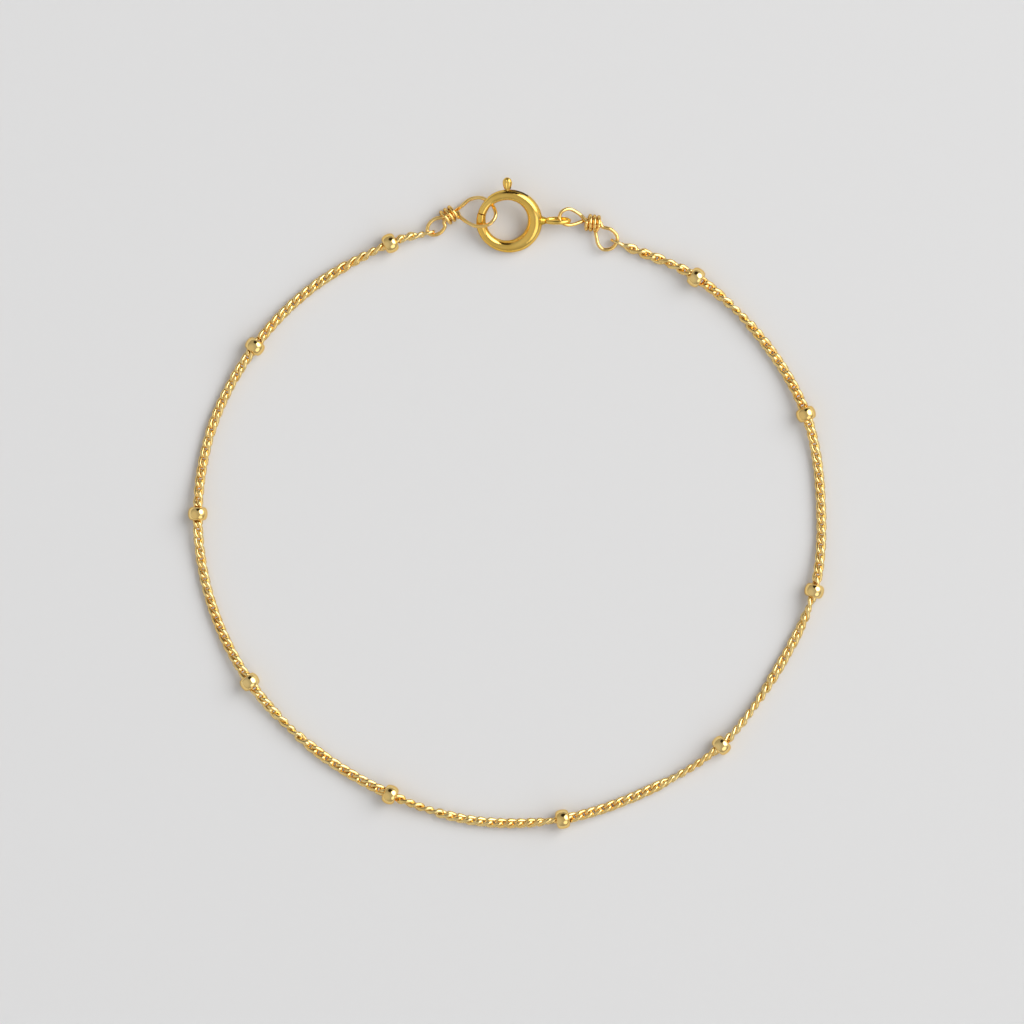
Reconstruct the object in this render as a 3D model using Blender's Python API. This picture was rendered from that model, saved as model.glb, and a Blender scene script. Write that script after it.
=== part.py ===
"""A gold satellite-chain anklet, lying closed: beads on a fine chain, two wire links and a spring-ring clasp.

Metres, +Z up. The anklet lies on z = 0, its loop centred on the origin, with the clasp at the +Y side.
"""

import math

import bmesh
import bpy
from mathutils import Matrix, Vector

MM = 0.001

# Chain
CHAIN_DIAMETER = 1.0 * MM
CHAIN_FLOOR_GAP = 0.03 * MM
CHAIN_STEPS_PER_GAP = 7
CHAIN_LEAD_STEPS = 3
# How far from a bead's face the chain takes to settle from the bead's axis down to the surface.
CHAIN_SETTLE_LENGTH = 3.2 * MM
# The chain's way round on the surface, clockwise from the clasp's tab side: the first point carries a bead,
# and so does every second one after it. The chain's two ends follow the links that they meet.
CHAIN_ROUTE_MM = [
    (22.10, 26.50),
    (29.60, 19.55),
    (34.95, 10.50),
    (36.70, 0.25),
    (35.92, -10.15),
    (31.45, -19.70),
    (25.07, -28.22),
    (16.30, -33.60),
    (6.50, -36.85),
    (-3.80, -37.05),
    (-13.68, -33.98),
    (-22.75, -28.52),
    (-30.10, -20.80),
    (-34.65, -11.45),
    (-36.16, -1.14),
    (-34.42, 9.20),
    (-29.48, 18.42),
    (-22.60, 25.42),
    (-13.67, 30.48),
]
CHAIN_END_GAP = 0.12 * MM

# Beads
BEAD_DIAMETER = 2.34 * MM
BEAD_LENGTH = 1.56 * MM
BEAD_BAND = 0.30 * MM
BEAD_RIM = 0.13 * MM
BEAD_SIDES = 16
BEAD_SHOULDER_STEPS = 3
CHAIN_CLEARANCE = 0.15 * MM

# Spring ring: the tube follows a circle, and is fuller beside the tab than by the gate
RING_CENTRE = Vector((0.11, 33.12, 0.0)) * MM
RING_RADIUS = 3.16 * MM
RING_TILT = math.radians(18.0)
RING_TUBE_RADIUS = 0.60 * MM
RING_SWELL = 0.25 * MM
RING_SWELL_ANGLE = math.radians(-15.0)
RING_FLOOR_GAP = 0.02 * MM
RING_WALL = 0.10 * MM
RING_SIDES = 12
RING_STEP = math.radians(7.5)
GATE_MOUTH_ANGLE = math.radians(130.0)
GATE_SEAT_ANGLE = math.radians(165.0)
BORE_END_ANGLE = math.radians(-50.0)

# Bolt: the curved tongue that slides in the ring's tube, with its thumb knob
BOLT_CLEARANCE = 0.08 * MM
BOLT_TIP_GAP = 0.10 * MM
BOLT_TAIL_ANGLE = math.radians(74.0)
BOLT_TRAVEL = math.radians(33.0)
BOLT_SIDES = 10
KNOB_ANGLE = math.radians(91.0)
KNOB_STEM_RADIUS = 0.24 * MM
KNOB_WIDTH = 1.20 * MM
KNOB_LENGTH = 1.46 * MM
KNOB_DEPTH = 0.90 * MM
KNOB_RING_GAP = 0.02 * MM
SLOT_CLEARANCE = 0.08 * MM

# Tab: the wire eye soldered on edge to the ring's outside
TAB_WIRE_RADIUS = 0.26 * MM
TAB_LENGTH = 3.22 * MM
TAB_HEIGHT = 1.96 * MM
TAB_RING_GAP = 0.14 * MM
TAB_STEPS = 24
TAB_SIDES = 8
SOLDER_RADIUS = 0.42 * MM

# Wrapped-wire links: a coil round a neck of two wires, with a loop at each side
WIRE_RADIUS = 0.205 * MM
WIRE_SIDES_RESOLUTION = 1
WRAP_PITCH = 0.60 * MM
WRAP_SLACK = 0.04 * MM
WRAP_STEPS_PER_TURN = 12
WIRE_FLOOR_GAP = 0.06 * MM
CORE_GAP = 0.05 * MM
LOOP_STEPS = 3
LINK_CLEARANCE = 0.11 * MM

# The left link hooks through the ring, and the right one through the tab
LEFT_WRAP_HEADING = math.radians(33.0)
LEFT_WRAP_TURNS = 3.0
LEFT_WRAP_OFFSET = (-0.85 * MM, -0.08 * MM)
LEFT_CLASP_LOOP_LENGTH = 4.66 * MM
LEFT_CLASP_LOOP_HEADING = math.radians(-0.4)
LEFT_CLASP_LOOP_RISE = 0.76 * MM
LEFT_HOOK_DEPTH = 1.86 * MM
LEFT_CHAIN_LOOP_LENGTH = 2.21 * MM
LEFT_CHAIN_LOOP_HEADING = math.radians(-144.5)
LEFT_CHAIN_LOOP_OFFSET = (-0.72 * MM, -0.57 * MM)
RIGHT_WRAP_HEADING = math.radians(172.0)
RIGHT_WRAP_TURNS = 2.5
RIGHT_WRAP_OFFSET = (0.92 * MM, -0.42 * MM)
RIGHT_CLASP_LOOP_LENGTH = 2.98 * MM
RIGHT_CLASP_LOOP_HEADING = math.radians(176.4)
RIGHT_CLASP_LOOP_RISE = 0.34 * MM
RIGHT_HOOK_DEPTH = 0.84 * MM
RIGHT_CHAIN_LOOP_LENGTH = 2.87 * MM
RIGHT_CHAIN_LOOP_HEADING = math.radians(-50.8)
RIGHT_CHAIN_LOOP_OFFSET = (0.64 * MM, -0.39 * MM)

# The wire loops, each row a point as shares of the loop's length: along it, and across it to its left
LEFT_CLASP_LOOP = [
    (0.13, 0.22),
    (0.31, 0.37),
    (0.53, 0.42),
    (0.70, 0.38),
    (0.86, 0.26),
    (0.94, 0.14),
    (0.97, 0.00),
    (0.93, -0.13),
    (0.81, -0.25),
    (0.63, -0.30),
    (0.44, -0.29),
    (0.24, -0.19),
    (0.07, -0.06),
]
LEFT_CHAIN_LOOP = [
    (0.16, 0.34),
    (0.51, 0.46),
    (0.86, 0.37),
    (1.07, 0.09),
    (0.93, -0.16),
    (0.62, -0.30),
    (0.28, -0.29),
]
RIGHT_CLASP_LOOP = [
    (0.12, -0.25),
    (0.38, -0.39),
    (0.67, -0.39),
    (0.92, -0.24),
    (1.00, 0.02),
    (0.86, 0.20),
    (0.62, 0.26),
    (0.36, 0.20),
    (0.14, 0.10),
]
RIGHT_CHAIN_LOOP = [
    (0.12, 0.12),
    (0.40, 0.31),
    (0.74, 0.36),
    (0.99, 0.18),
    (1.04, -0.15),
    (0.86, -0.43),
    (0.58, -0.46),
    (0.32, -0.34),
    (0.12, -0.22),
]
# Where the left clasp loop passes under the ring's tube and where it passes over it, in the same shares
RING_UNDERPASS = (0.76, 0.35)
RING_OVERPASS = (0.61, -0.30)

# End links that join the chain to the wire loops
END_LINK_WIRE_RADIUS = 0.165 * MM
END_LINK_LENGTH = 1.72 * MM
END_LINK_CLEARANCE = 0.12 * MM
END_LINK_ROLL = math.radians(60.0)
END_LINK_FLOOR_GAP = 0.03 * MM
END_LINK_STEPS = 20

GOLD = (0.82, 0.60, 0.22, 1.0)
BRIGHT_GOLD = (0.88, 0.66, 0.27, 1.0)


def clear_scene():
    for item in list(bpy.data.objects):
        bpy.data.objects.remove(item, do_unlink=True)


def gold_material(name, colour, roughness):
    material = bpy.data.materials.new(name)
    material.use_nodes = True
    shader = material.node_tree.nodes["Principled BSDF"]
    shader.inputs["Base Color"].default_value = colour
    shader.inputs["Metallic"].default_value = 1.0
    shader.inputs["Roughness"].default_value = roughness
    return material


def smooth_points(points, steps):
    """Points on a smooth curve through the given ones, with this many steps between two of them."""
    padded = [points[0] * 2 - points[1], *points, points[-1] * 2 - points[-2]]
    found = []
    for before, start, end, after in zip(padded, padded[1:], padded[2:], padded[3:]):
        for step in range(steps):
            t = step / steps
            found.append(
                0.5
                * (
                    start * 2
                    + (end - before) * t
                    + (before * 2 - start * 5 + end * 4 - after) * t**2
                    + (start * 3 - before - end * 3 + after) * t**3
                )
            )
    return [*found, points[-1]]


def wire_object(name, points, radius, resolution, material, cyclic=False):
    """A round wire along the points, as a bevelled curve with closed ends."""
    curve = bpy.data.curves.new(name, "CURVE")
    curve.dimensions = "3D"
    curve.bevel_depth = radius
    curve.bevel_resolution = resolution
    curve.use_fill_caps = True
    spline = curve.splines.new("POLY")
    spline.points.add(len(points) - 1)
    for spot, point in zip(spline.points, points):
        spot.co = (*point, 1.0)
    spline.use_cyclic_u = cyclic
    curve.materials.append(material)
    obj = bpy.data.objects.new(name, curve)
    bpy.context.collection.objects.link(obj)
    return obj


def mesh_object(name, verts, faces, material):
    mesh = bpy.data.meshes.new(name)
    mesh.from_pydata(verts, [], faces)
    shell = bmesh.new()
    shell.from_mesh(mesh)
    bmesh.ops.recalc_face_normals(shell, faces=shell.faces)
    shell.to_mesh(mesh)
    shell.free()
    mesh.shade_smooth()
    mesh.set_sharp_from_angle(angle=math.radians(40.0))
    mesh.materials.append(material)
    obj = bpy.data.objects.new(name, mesh)
    bpy.context.collection.objects.link(obj)
    return obj


def combine(base, operation, tool):
    """Joins the tool to the base or cuts it from the base, and hides the tool."""
    change = base.modifiers.new(f"{operation.lower()}_{tool.name}", "BOOLEAN")
    change.operation = operation
    change.solver = "EXACT"
    change.object = tool
    tool.hide_render = True
    tool.display_type = "WIRE"


def swept_tube(name, rings, material, closed=False):
    """A closed tube through rings of points, all with as many points."""
    sides = len(rings[0])
    verts = [point for ring in rings for point in ring]
    count = len(rings)
    faces = []
    for i in range(count if closed else count - 1):
        near = i * sides
        far = (i + 1) % count * sides
        for j in range(sides):
            k = (j + 1) % sides
            faces.append((near + j, near + k, far + k, far + j))
    if not closed:
        faces.append(tuple(reversed(range(sides))))
        faces.append(tuple(range((count - 1) * sides, count * sides)))
    return mesh_object(name, verts, faces, material)


def round_section(centre, outward, upward, radius, sides):
    """A ring of points round the centre, with a flat side facing down."""
    points = []
    for j in range(sides):
        angle = math.tau * (j + 0.5) / sides
        points.append(centre + (outward * math.cos(angle) + upward * math.sin(angle)) * radius)
    return points


def ring_direction(angle):
    return Vector((math.cos(angle), math.sin(angle), 0.0))


def angles_between(start, end):
    """Even steps along the ring from one angle to the other."""
    count = max(2, round(abs(end - start) / RING_STEP))
    return [start + (end - start) * i / count for i in range(count + 1)]


def tube_radius(angle):
    """The ring's tube radius: its plain radius, and a swell that fades away from the tab."""
    return RING_TUBE_RADIUS + RING_SWELL * (0.5 + 0.5 * math.cos(angle - RING_SWELL_ANGLE)) ** 2


def arc_tube(name, start, end, radius_at, sides, material):
    """A tube along the ring's own circle, in the clasp's own frame."""
    rings = []
    for angle in angles_between(start, end):
        out = ring_direction(angle)
        rings.append(round_section(out * RING_RADIUS, out, Vector((0, 0, 1)), radius_at(angle), sides))
    return swept_tube(name, rings, material)


def ring_height():
    """How high the clasp's centre lies, for the ring's low side to rest on the surface."""
    heights = []
    for angle in angles_between(0.0, math.tau):
        heights.append(RING_RADIUS * math.sin(angle) * math.sin(RING_TILT) - tube_radius(angle))
    return RING_FLOOR_GAP - min(heights)


def bore_radius_at(angle):
    """The bore's radius, the same all along the ring."""
    return RING_TUBE_RADIUS - RING_WALL


def bolt_radius_at(angle):
    """The tongue's radius, the same all along the ring."""
    return bore_radius_at(angle) - BOLT_CLEARANCE


def clasp_frame():
    frame = bpy.data.objects.new("clasp_axis", None)
    frame.location = RING_CENTRE + Vector((0, 0, ring_height()))
    frame.rotation_euler = (RING_TILT, 0.0, 0.0)
    bpy.context.collection.objects.link(frame)
    return frame


def tab_centre():
    """The middle of the tab's eye, on the ring's +X side."""
    return Vector((RING_RADIUS + tube_radius(0.0) + TAB_RING_GAP + TAB_LENGTH / 2, 0, 0))


def clasp_ring(frame, material):
    """The hollow ring with its gate, its thumb slot and the soldered tab."""
    start = GATE_MOUTH_ANGLE
    end = GATE_SEAT_ANGLE - math.tau
    ring = arc_tube("clasp_ring", start, end, tube_radius, RING_SIDES, material)
    tab = tab_eye(material)
    solder = solder_joint(material)
    past_mouth = GATE_MOUTH_ANGLE + RING_STEP
    bore = arc_tube("ring_bore", past_mouth, BORE_END_ANGLE, bore_radius_at, RING_SIDES, material)
    slot = thumb_slot(material)
    combine(ring, "UNION", solder)
    combine(ring, "UNION", tab)
    combine(ring, "DIFFERENCE", bore)
    combine(ring, "DIFFERENCE", slot)
    for piece in (ring, tab, solder, bore, slot):
        piece.parent = frame
    return ring


def tab_eye(material):
    """A closed oval wire ring that stands on edge across the ring's plane."""
    centre = tab_centre()
    half_length = TAB_LENGTH / 2 - TAB_WIRE_RADIUS
    half_height = TAB_HEIGHT / 2 - TAB_WIRE_RADIUS
    rings = []
    for i in range(TAB_STEPS):
        angle = math.tau * i / TAB_STEPS
        spot = centre + Vector((half_length * math.cos(angle), 0, half_height * math.sin(angle)))
        out = Vector((half_height * math.cos(angle), 0, half_length * math.sin(angle))).normalized()
        rings.append(round_section(spot, out, Vector((0, 1, 0)), TAB_WIRE_RADIUS, TAB_SIDES))
    return swept_tube("ring_tab", rings, material, closed=True)


def solder_joint(material):
    """The short round neck that joins the tab to the ring."""
    near = RING_RADIUS
    far = tab_centre().x - TAB_LENGTH / 2 + TAB_WIRE_RADIUS
    along = Vector((0, 1, 0))
    up = Vector((0, 0, 1))
    rings = []
    for x in (near, far):
        rings.append(round_section(Vector((x, 0, 0)), along, up, SOLDER_RADIUS, TAB_SIDES))
    return swept_tube("ring_solder", rings, material)


def thumb_slot(material):
    """The curved slot in the ring's outer side that the knob's stem runs along."""
    half_width = KNOB_STEM_RADIUS + SLOT_CLEARANCE
    margin = half_width / RING_RADIUS
    outer = RING_RADIUS + tube_radius(KNOB_ANGLE) + RING_WALL
    rings = []
    for angle in angles_between(KNOB_ANGLE + margin, KNOB_ANGLE - BOLT_TRAVEL - margin):
        out = ring_direction(angle)
        corners = ((RING_RADIUS, -1), (outer, -1), (outer, 1), (RING_RADIUS, 1))
        rings.append([out * reach + Vector((0, 0, side * half_width)) for reach, side in corners])
    return swept_tube("ring_slot", rings, material)


def clasp_bolt(frame, material):
    """The sliding tongue, with a stem through the slot and the thumb knob outside."""
    tip = GATE_SEAT_ANGLE - BOLT_TIP_GAP / RING_RADIUS
    bolt = arc_tube("clasp_bolt", tip, BOLT_TAIL_ANGLE, bolt_radius_at, BOLT_SIDES, material)
    out = ring_direction(KNOB_ANGLE)
    along = Vector((-out.y, out.x, 0))
    up = Vector((0, 0, 1))
    knob_base = RING_RADIUS + tube_radius(KNOB_ANGLE) + KNOB_RING_GAP
    knob_middle = knob_base + KNOB_LENGTH / 2
    stem_rings = []
    for reach in (RING_RADIUS, knob_middle):
        stem_rings.append(round_section(out * reach, along, up, KNOB_STEM_RADIUS, TAB_SIDES))
    stem = swept_tube("bolt_stem", stem_rings, material)
    knob = knob_shape(out, along, knob_middle, material)
    combine(bolt, "UNION", stem)
    combine(bolt, "UNION", knob)
    for piece in (bolt, stem, knob):
        piece.parent = frame
    return bolt


def knob_shape(out, along, middle, material):
    """A rounded oval lug, longest away from the ring."""
    shell = bmesh.new()
    bmesh.ops.create_uvsphere(shell, u_segments=12, v_segments=8, radius=0.5)
    size = Matrix.Diagonal((KNOB_WIDTH, KNOB_DEPTH, KNOB_LENGTH, 1.0))
    turn = Matrix((along, (0, 0, 1), out)).transposed().to_4x4()
    bmesh.ops.transform(shell, matrix=Matrix.Translation(out * middle) @ turn @ size, verts=shell.verts)
    bmesh.ops.recalc_face_normals(shell, faces=shell.faces)
    mesh = bpy.data.meshes.new("bolt_knob")
    shell.to_mesh(mesh)
    shell.free()
    mesh.shade_smooth()
    mesh.materials.append(material)
    obj = bpy.data.objects.new("bolt_knob", mesh)
    bpy.context.collection.objects.link(obj)
    return obj


def loop_points(origin, heading, length, shares, climb, roll):
    """A wire loop's points, from its rows of shares. It climbs along its length and rolls across it."""
    forward = ring_direction(heading)
    left = ring_direction(heading + math.pi / 2)
    points = []
    for along, across in shares:
        spot = origin + (forward * along + left * across) * length
        spot.z += (along * climb + across * roll) * length
        points.append(spot)
    return points


def wrap_radius():
    """From the neck's axis to the middle of the coiled wire, outside the two wires of the neck."""
    return CORE_GAP / 2 + 3 * WIRE_RADIUS + WRAP_SLACK


def neck_height():
    return wrap_radius() + WIRE_RADIUS + WIRE_FLOOR_GAP


def wrapped_wire(name, wrap_middle, wrap_heading, turns, end_phase, clasp_loop, chain_loop, material):
    """One wire: a coil round the neck, the clasp loop, back through the coil, and the chain loop."""
    forward = ring_direction(wrap_heading)
    side = ring_direction(wrap_heading + math.pi / 2)
    up = Vector((0, 0, 1))
    half = WRAP_PITCH * turns / 2
    coil = []
    for step in range(round(turns * WRAP_STEPS_PER_TURN) + 1):
        turn = step / WRAP_STEPS_PER_TURN
        phase = end_phase + math.tau * (turn - turns)
        reach = side * math.cos(phase) + up * math.sin(phase)
        coil.append(wrap_middle + forward * (turn * WRAP_PITCH - half) + reach * wrap_radius())
    core = side * (WIRE_RADIUS + CORE_GAP / 2)
    core_out = [wrap_middle - core + forward * half, wrap_middle - core - forward * half]
    tail = [wrap_middle + core - forward * half, wrap_middle + core]
    rest = smooth_points([*coil[-2:], *clasp_loop, *core_out, *chain_loop, *tail], LOOP_STEPS)
    return wire_object(name, coil + rest[LOOP_STEPS + 1:], WIRE_RADIUS, WIRE_SIDES_RESOLUTION, material)


def ring_surface_height(spot, side):
    """The height of the tilted ring's tube over this spot: its top for side 1, its underside for -1."""
    rise = (spot.y - RING_CENTRE.y) * math.tan(RING_TILT)
    return ring_height() + rise + side * RING_TUBE_RADIUS / math.cos(RING_TILT)


def left_loop_slopes(origin):
    """The climb and roll that take the left clasp loop under the ring's tube and back over it."""
    heights = []
    for share, side in ((RING_UNDERPASS, -1), (RING_OVERPASS, 1)):
        spot = loop_points(origin, LEFT_CLASP_LOOP_HEADING, LEFT_CLASP_LOOP_LENGTH, [share], 0, 0)[0]
        wanted = ring_surface_height(spot, side) + side * (WIRE_RADIUS + LINK_CLEARANCE)
        heights.append((wanted - origin.z) / LEFT_CLASP_LOOP_LENGTH)
    (a, b), (c, d) = RING_UNDERPASS, RING_OVERPASS
    scale = a * d - b * c
    return (heights[0] * d - heights[1] * b) / scale, (heights[1] * a - heights[0] * c) / scale


def left_clasp_origin():
    """The neck end of the left clasp loop, whose far end lies inside the ring's hole."""
    far = RING_CENTRE.x - RING_RADIUS + LEFT_HOOK_DEPTH
    return Vector((far - LEFT_CLASP_LOOP_LENGTH, RING_CENTRE.y + LEFT_CLASP_LOOP_RISE, neck_height()))


def right_clasp_origin():
    """The neck end of the right clasp loop, whose far end lies in the tab's eye."""
    depth = TAB_LENGTH / 2 - 2 * TAB_WIRE_RADIUS - RIGHT_HOOK_DEPTH
    far = RING_CENTRE + tab_centre() + Vector((depth, RIGHT_CLASP_LOOP_RISE, 0))
    origin = far - ring_direction(RIGHT_CLASP_LOOP_HEADING) * RIGHT_CLASP_LOOP_LENGTH
    return Vector((origin.x, origin.y, neck_height()))


def chain_loop_points(origin, offset, heading, length, shares):
    """The loop that holds the chain's end link, sinking to the link's height."""
    start = origin + Vector((*offset, 0.0))
    climb = (end_link_height() - neck_height()) / length
    return loop_points(start, heading, length, shares, climb, 0.0)


def left_wrap_middle():
    return left_clasp_origin() + Vector((*LEFT_WRAP_OFFSET, 0))


def right_wrap_middle():
    return right_clasp_origin() + Vector((*RIGHT_WRAP_OFFSET, 0))


def left_chain_loop():
    return chain_loop_points(
        left_wrap_middle(),
        LEFT_CHAIN_LOOP_OFFSET,
        LEFT_CHAIN_LOOP_HEADING,
        LEFT_CHAIN_LOOP_LENGTH,
        LEFT_CHAIN_LOOP,
    )


def right_chain_loop():
    return chain_loop_points(
        right_wrap_middle(),
        RIGHT_CHAIN_LOOP_OFFSET,
        RIGHT_CHAIN_LOOP_HEADING,
        RIGHT_CHAIN_LOOP_LENGTH,
        RIGHT_CHAIN_LOOP,
    )


def left_wire_link(material):
    origin = left_clasp_origin()
    climb, roll = left_loop_slopes(origin)
    heading = LEFT_CLASP_LOOP_HEADING
    clasp_loop = loop_points(origin, heading, LEFT_CLASP_LOOP_LENGTH, LEFT_CLASP_LOOP, climb, roll)
    return wrapped_wire(
        "wire_link_left",
        left_wrap_middle(),
        LEFT_WRAP_HEADING,
        LEFT_WRAP_TURNS,
        -math.pi / 2,
        clasp_loop,
        left_chain_loop(),
        material,
    )


def right_wire_link(material):
    origin = right_clasp_origin()
    climb = (ring_height() - neck_height()) / RIGHT_CLASP_LOOP_LENGTH
    heading = RIGHT_CLASP_LOOP_HEADING
    clasp_loop = loop_points(origin, heading, RIGHT_CLASP_LOOP_LENGTH, RIGHT_CLASP_LOOP, climb, 0.0)
    return wrapped_wire(
        "wire_link_right",
        right_wrap_middle(),
        RIGHT_WRAP_HEADING,
        RIGHT_WRAP_TURNS,
        math.pi / 2,
        clasp_loop,
        right_chain_loop(),
        material,
    )


def end_link_half_width():
    """Half the end link's width at its wire's middle, wide enough for the loop's wire to pass."""
    return WIRE_RADIUS + END_LINK_WIRE_RADIUS + END_LINK_CLEARANCE


def end_link_height():
    """The height of an end link's middle, with its lowest side just above the surface."""
    return end_link_half_width() * math.sin(END_LINK_ROLL) + END_LINK_WIRE_RADIUS + END_LINK_FLOOR_GAP


def end_link_place(loop, hooked, toward):
    """An end link's middle and heading: hooked round a point of the loop, and facing the nearest bead."""
    start = loop[hooked]
    forward = Vector((toward.x - start.x, toward.y - start.y, 0.0)).normalized()
    half_length = END_LINK_LENGTH / 2 - END_LINK_WIRE_RADIUS
    centre = start + forward * (half_length - END_LINK_WIRE_RADIUS - WIRE_RADIUS)
    centre.z = end_link_height()
    return centre, forward


def left_end_place():
    return end_link_place(left_chain_loop(), 3, route_vectors()[-1])


def right_end_place():
    return end_link_place(right_chain_loop(), 3, route_vectors()[0])


def end_link(name, place, material):
    """An oval link round the wire loop, reaching towards the chain's end."""
    centre, forward = place
    across = Vector((-forward.y, forward.x, 0.0))
    side = across * math.cos(END_LINK_ROLL) + Vector((0, 0, math.sin(END_LINK_ROLL)))
    half_length = END_LINK_LENGTH / 2 - END_LINK_WIRE_RADIUS
    points = []
    for step in range(END_LINK_STEPS):
        angle = math.tau * step / END_LINK_STEPS
        reach = forward * half_length * math.cos(angle) + side * end_link_half_width() * math.sin(angle)
        points.append(centre + reach)
    return wire_object(name, points, END_LINK_WIRE_RADIUS, WIRE_SIDES_RESOLUTION, material, cyclic=True)


def chain_end(place):
    """Where the chain stops, just short of its end link."""
    centre, forward = place
    end = centre + forward * (END_LINK_LENGTH / 2 + CHAIN_END_GAP)
    return Vector((end.x, end.y, 0.0))


def bead_height():
    """The height of a bead's axis, for its lowest flat side to lie on the surface."""
    return BEAD_DIAMETER / 2 * math.cos(math.pi / BEAD_SIDES)


def route_vectors():
    return [Vector((x, y, 0.0)) * MM for x, y in CHAIN_ROUTE_MM]


def bead_places():
    """Each bead's middle and the chain's heading through it."""
    route = route_vectors()
    whole = [chain_end(right_end_place()), *route, chain_end(left_end_place())]
    fine = smooth_points(whole, 8)
    places = []
    for i in range(0, len(route), 2):
        at = (i + 1) * 8
        heading = (fine[at + 1] - fine[at - 1]).normalized()
        places.append((route[i] + Vector((0, 0, bead_height())), heading))
    return places


def settled_height(distance):
    """The chain axis's height at this distance from the nearest bead's face: high there, and soon at rest."""
    rest = CHAIN_DIAMETER / 2 + CHAIN_FLOOR_GAP
    return rest + (bead_height() - rest) * math.exp(-((distance / CHAIN_SETTLE_LENGTH) ** 2))


def chain_points():
    """The chain's axis: straight through each bead, and down on the surface between them."""
    route = route_vectors()
    places = bead_places()
    half = BEAD_LENGTH / 2
    points = []
    first = chain_end(right_end_place())
    last = chain_end(left_end_place())
    for gap in range(len(places) + 1):
        start = first if gap == 0 else places[gap - 1][0] + places[gap - 1][1] * half
        end = last if gap == len(places) else places[gap][0] - places[gap][1] * half
        through = [start, end]
        if 0 < gap < len(places):
            through = [start, route[2 * gap - 1], end]
        steps = CHAIN_STEPS_PER_GAP if len(through) == 3 else CHAIN_LEAD_STEPS
        points += spaced_span(through, gap, places, steps)
    return points


def spaced_span(through, gap, places, steps):
    """Evenly spaced points of one stretch of chain between two beads, or from a bead to the chain's end."""
    flat = [Vector((point.x, point.y, 0.0)) for point in through]
    before = flat[0] if gap == 0 else flat[0] - places[gap - 1][1] * BEAD_LENGTH
    after = flat[-1] if gap == len(places) else flat[-1] + places[gap][1] * BEAD_LENGTH
    lead_in = [] if gap == 0 else [before]
    lead_out = [] if gap == len(places) else [after]
    fine_steps = 40
    fine = smooth_points([*lead_in, *flat, *lead_out], fine_steps)
    fine = fine[len(lead_in) * fine_steps:len(fine) - len(lead_out) * fine_steps]
    reach = [0.0]
    for near, far in zip(fine, fine[1:]):
        reach.append(reach[-1] + (far - near).length)
    total = reach[-1]
    points = []
    for step in range(steps + 1):
        wanted = total * step / steps
        index = min(range(len(reach)), key=lambda i: abs(reach[i] - wanted))
        spot = fine[index].copy()
        from_start = math.inf if gap == 0 else wanted
        from_end = math.inf if gap == len(places) else total - wanted
        spot.z = settled_height(min(from_start, from_end))
        points.append(spot)
    return points


def bead(name, place, heading, material):
    """A drilled round bead, a little shorter along the chain than it is across."""
    radius = BEAD_DIAMETER / 2
    bore = CHAIN_DIAMETER / 2 + CHAIN_CLEARANCE
    rim = bore + BEAD_RIM
    half_band = BEAD_BAND / 2
    shoulder = []
    for step in range(BEAD_SHOULDER_STEPS + 1):
        angle = math.pi / 2 * step / BEAD_SHOULDER_STEPS
        along = half_band + (BEAD_LENGTH / 2 - half_band) * math.sin(angle)
        shoulder.append((along, rim + (radius - rim) * math.cos(angle)))
    profile = [(-along, reach) for along, reach in reversed(shoulder)]
    profile += shoulder
    profile += [(BEAD_LENGTH / 2, bore), (-BEAD_LENGTH / 2, bore)]
    side = Vector((-heading.y, heading.x, 0.0))
    up = Vector((0, 0, 1))
    rings = [round_section(place + heading * along, side, up, reach, BEAD_SIDES) for along, reach in profile]
    return swept_tube(name, rings, material, closed=True)


def main():
    clear_scene()
    chain_gold = gold_material("chain_gold", GOLD, 0.24)
    bead_gold = gold_material("bead_gold", BRIGHT_GOLD, 0.10)
    clasp_gold = gold_material("clasp_gold", GOLD, 0.18)
    wire_gold = gold_material("wire_gold", BRIGHT_GOLD, 0.14)
    frame = clasp_frame()
    clasp_ring(frame, clasp_gold)
    clasp_bolt(frame, clasp_gold)
    left_wire_link(wire_gold)
    right_wire_link(wire_gold)
    end_link("end_link_left", left_end_place(), chain_gold)
    end_link("end_link_right", right_end_place(), chain_gold)
    wire_object("chain", chain_points(), CHAIN_DIAMETER / 2, 2, chain_gold)
    for number, (place, heading) in enumerate(bead_places(), start=1):
        bead(f"bead_{number:02d}", place, heading, bead_gold)


main()
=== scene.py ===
"""The finished look of a gold satellite-chain anklet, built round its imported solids.

Each sub-assembly is a class: the curb chain, its end links, the beads, the two wrapped wires and the
spring-ring clasp. Every mesh is a surface worked out with numpy, in metres, where its solid lies.
"""

import logging
import math
from dataclasses import dataclass, field
from enum import Enum

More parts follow.
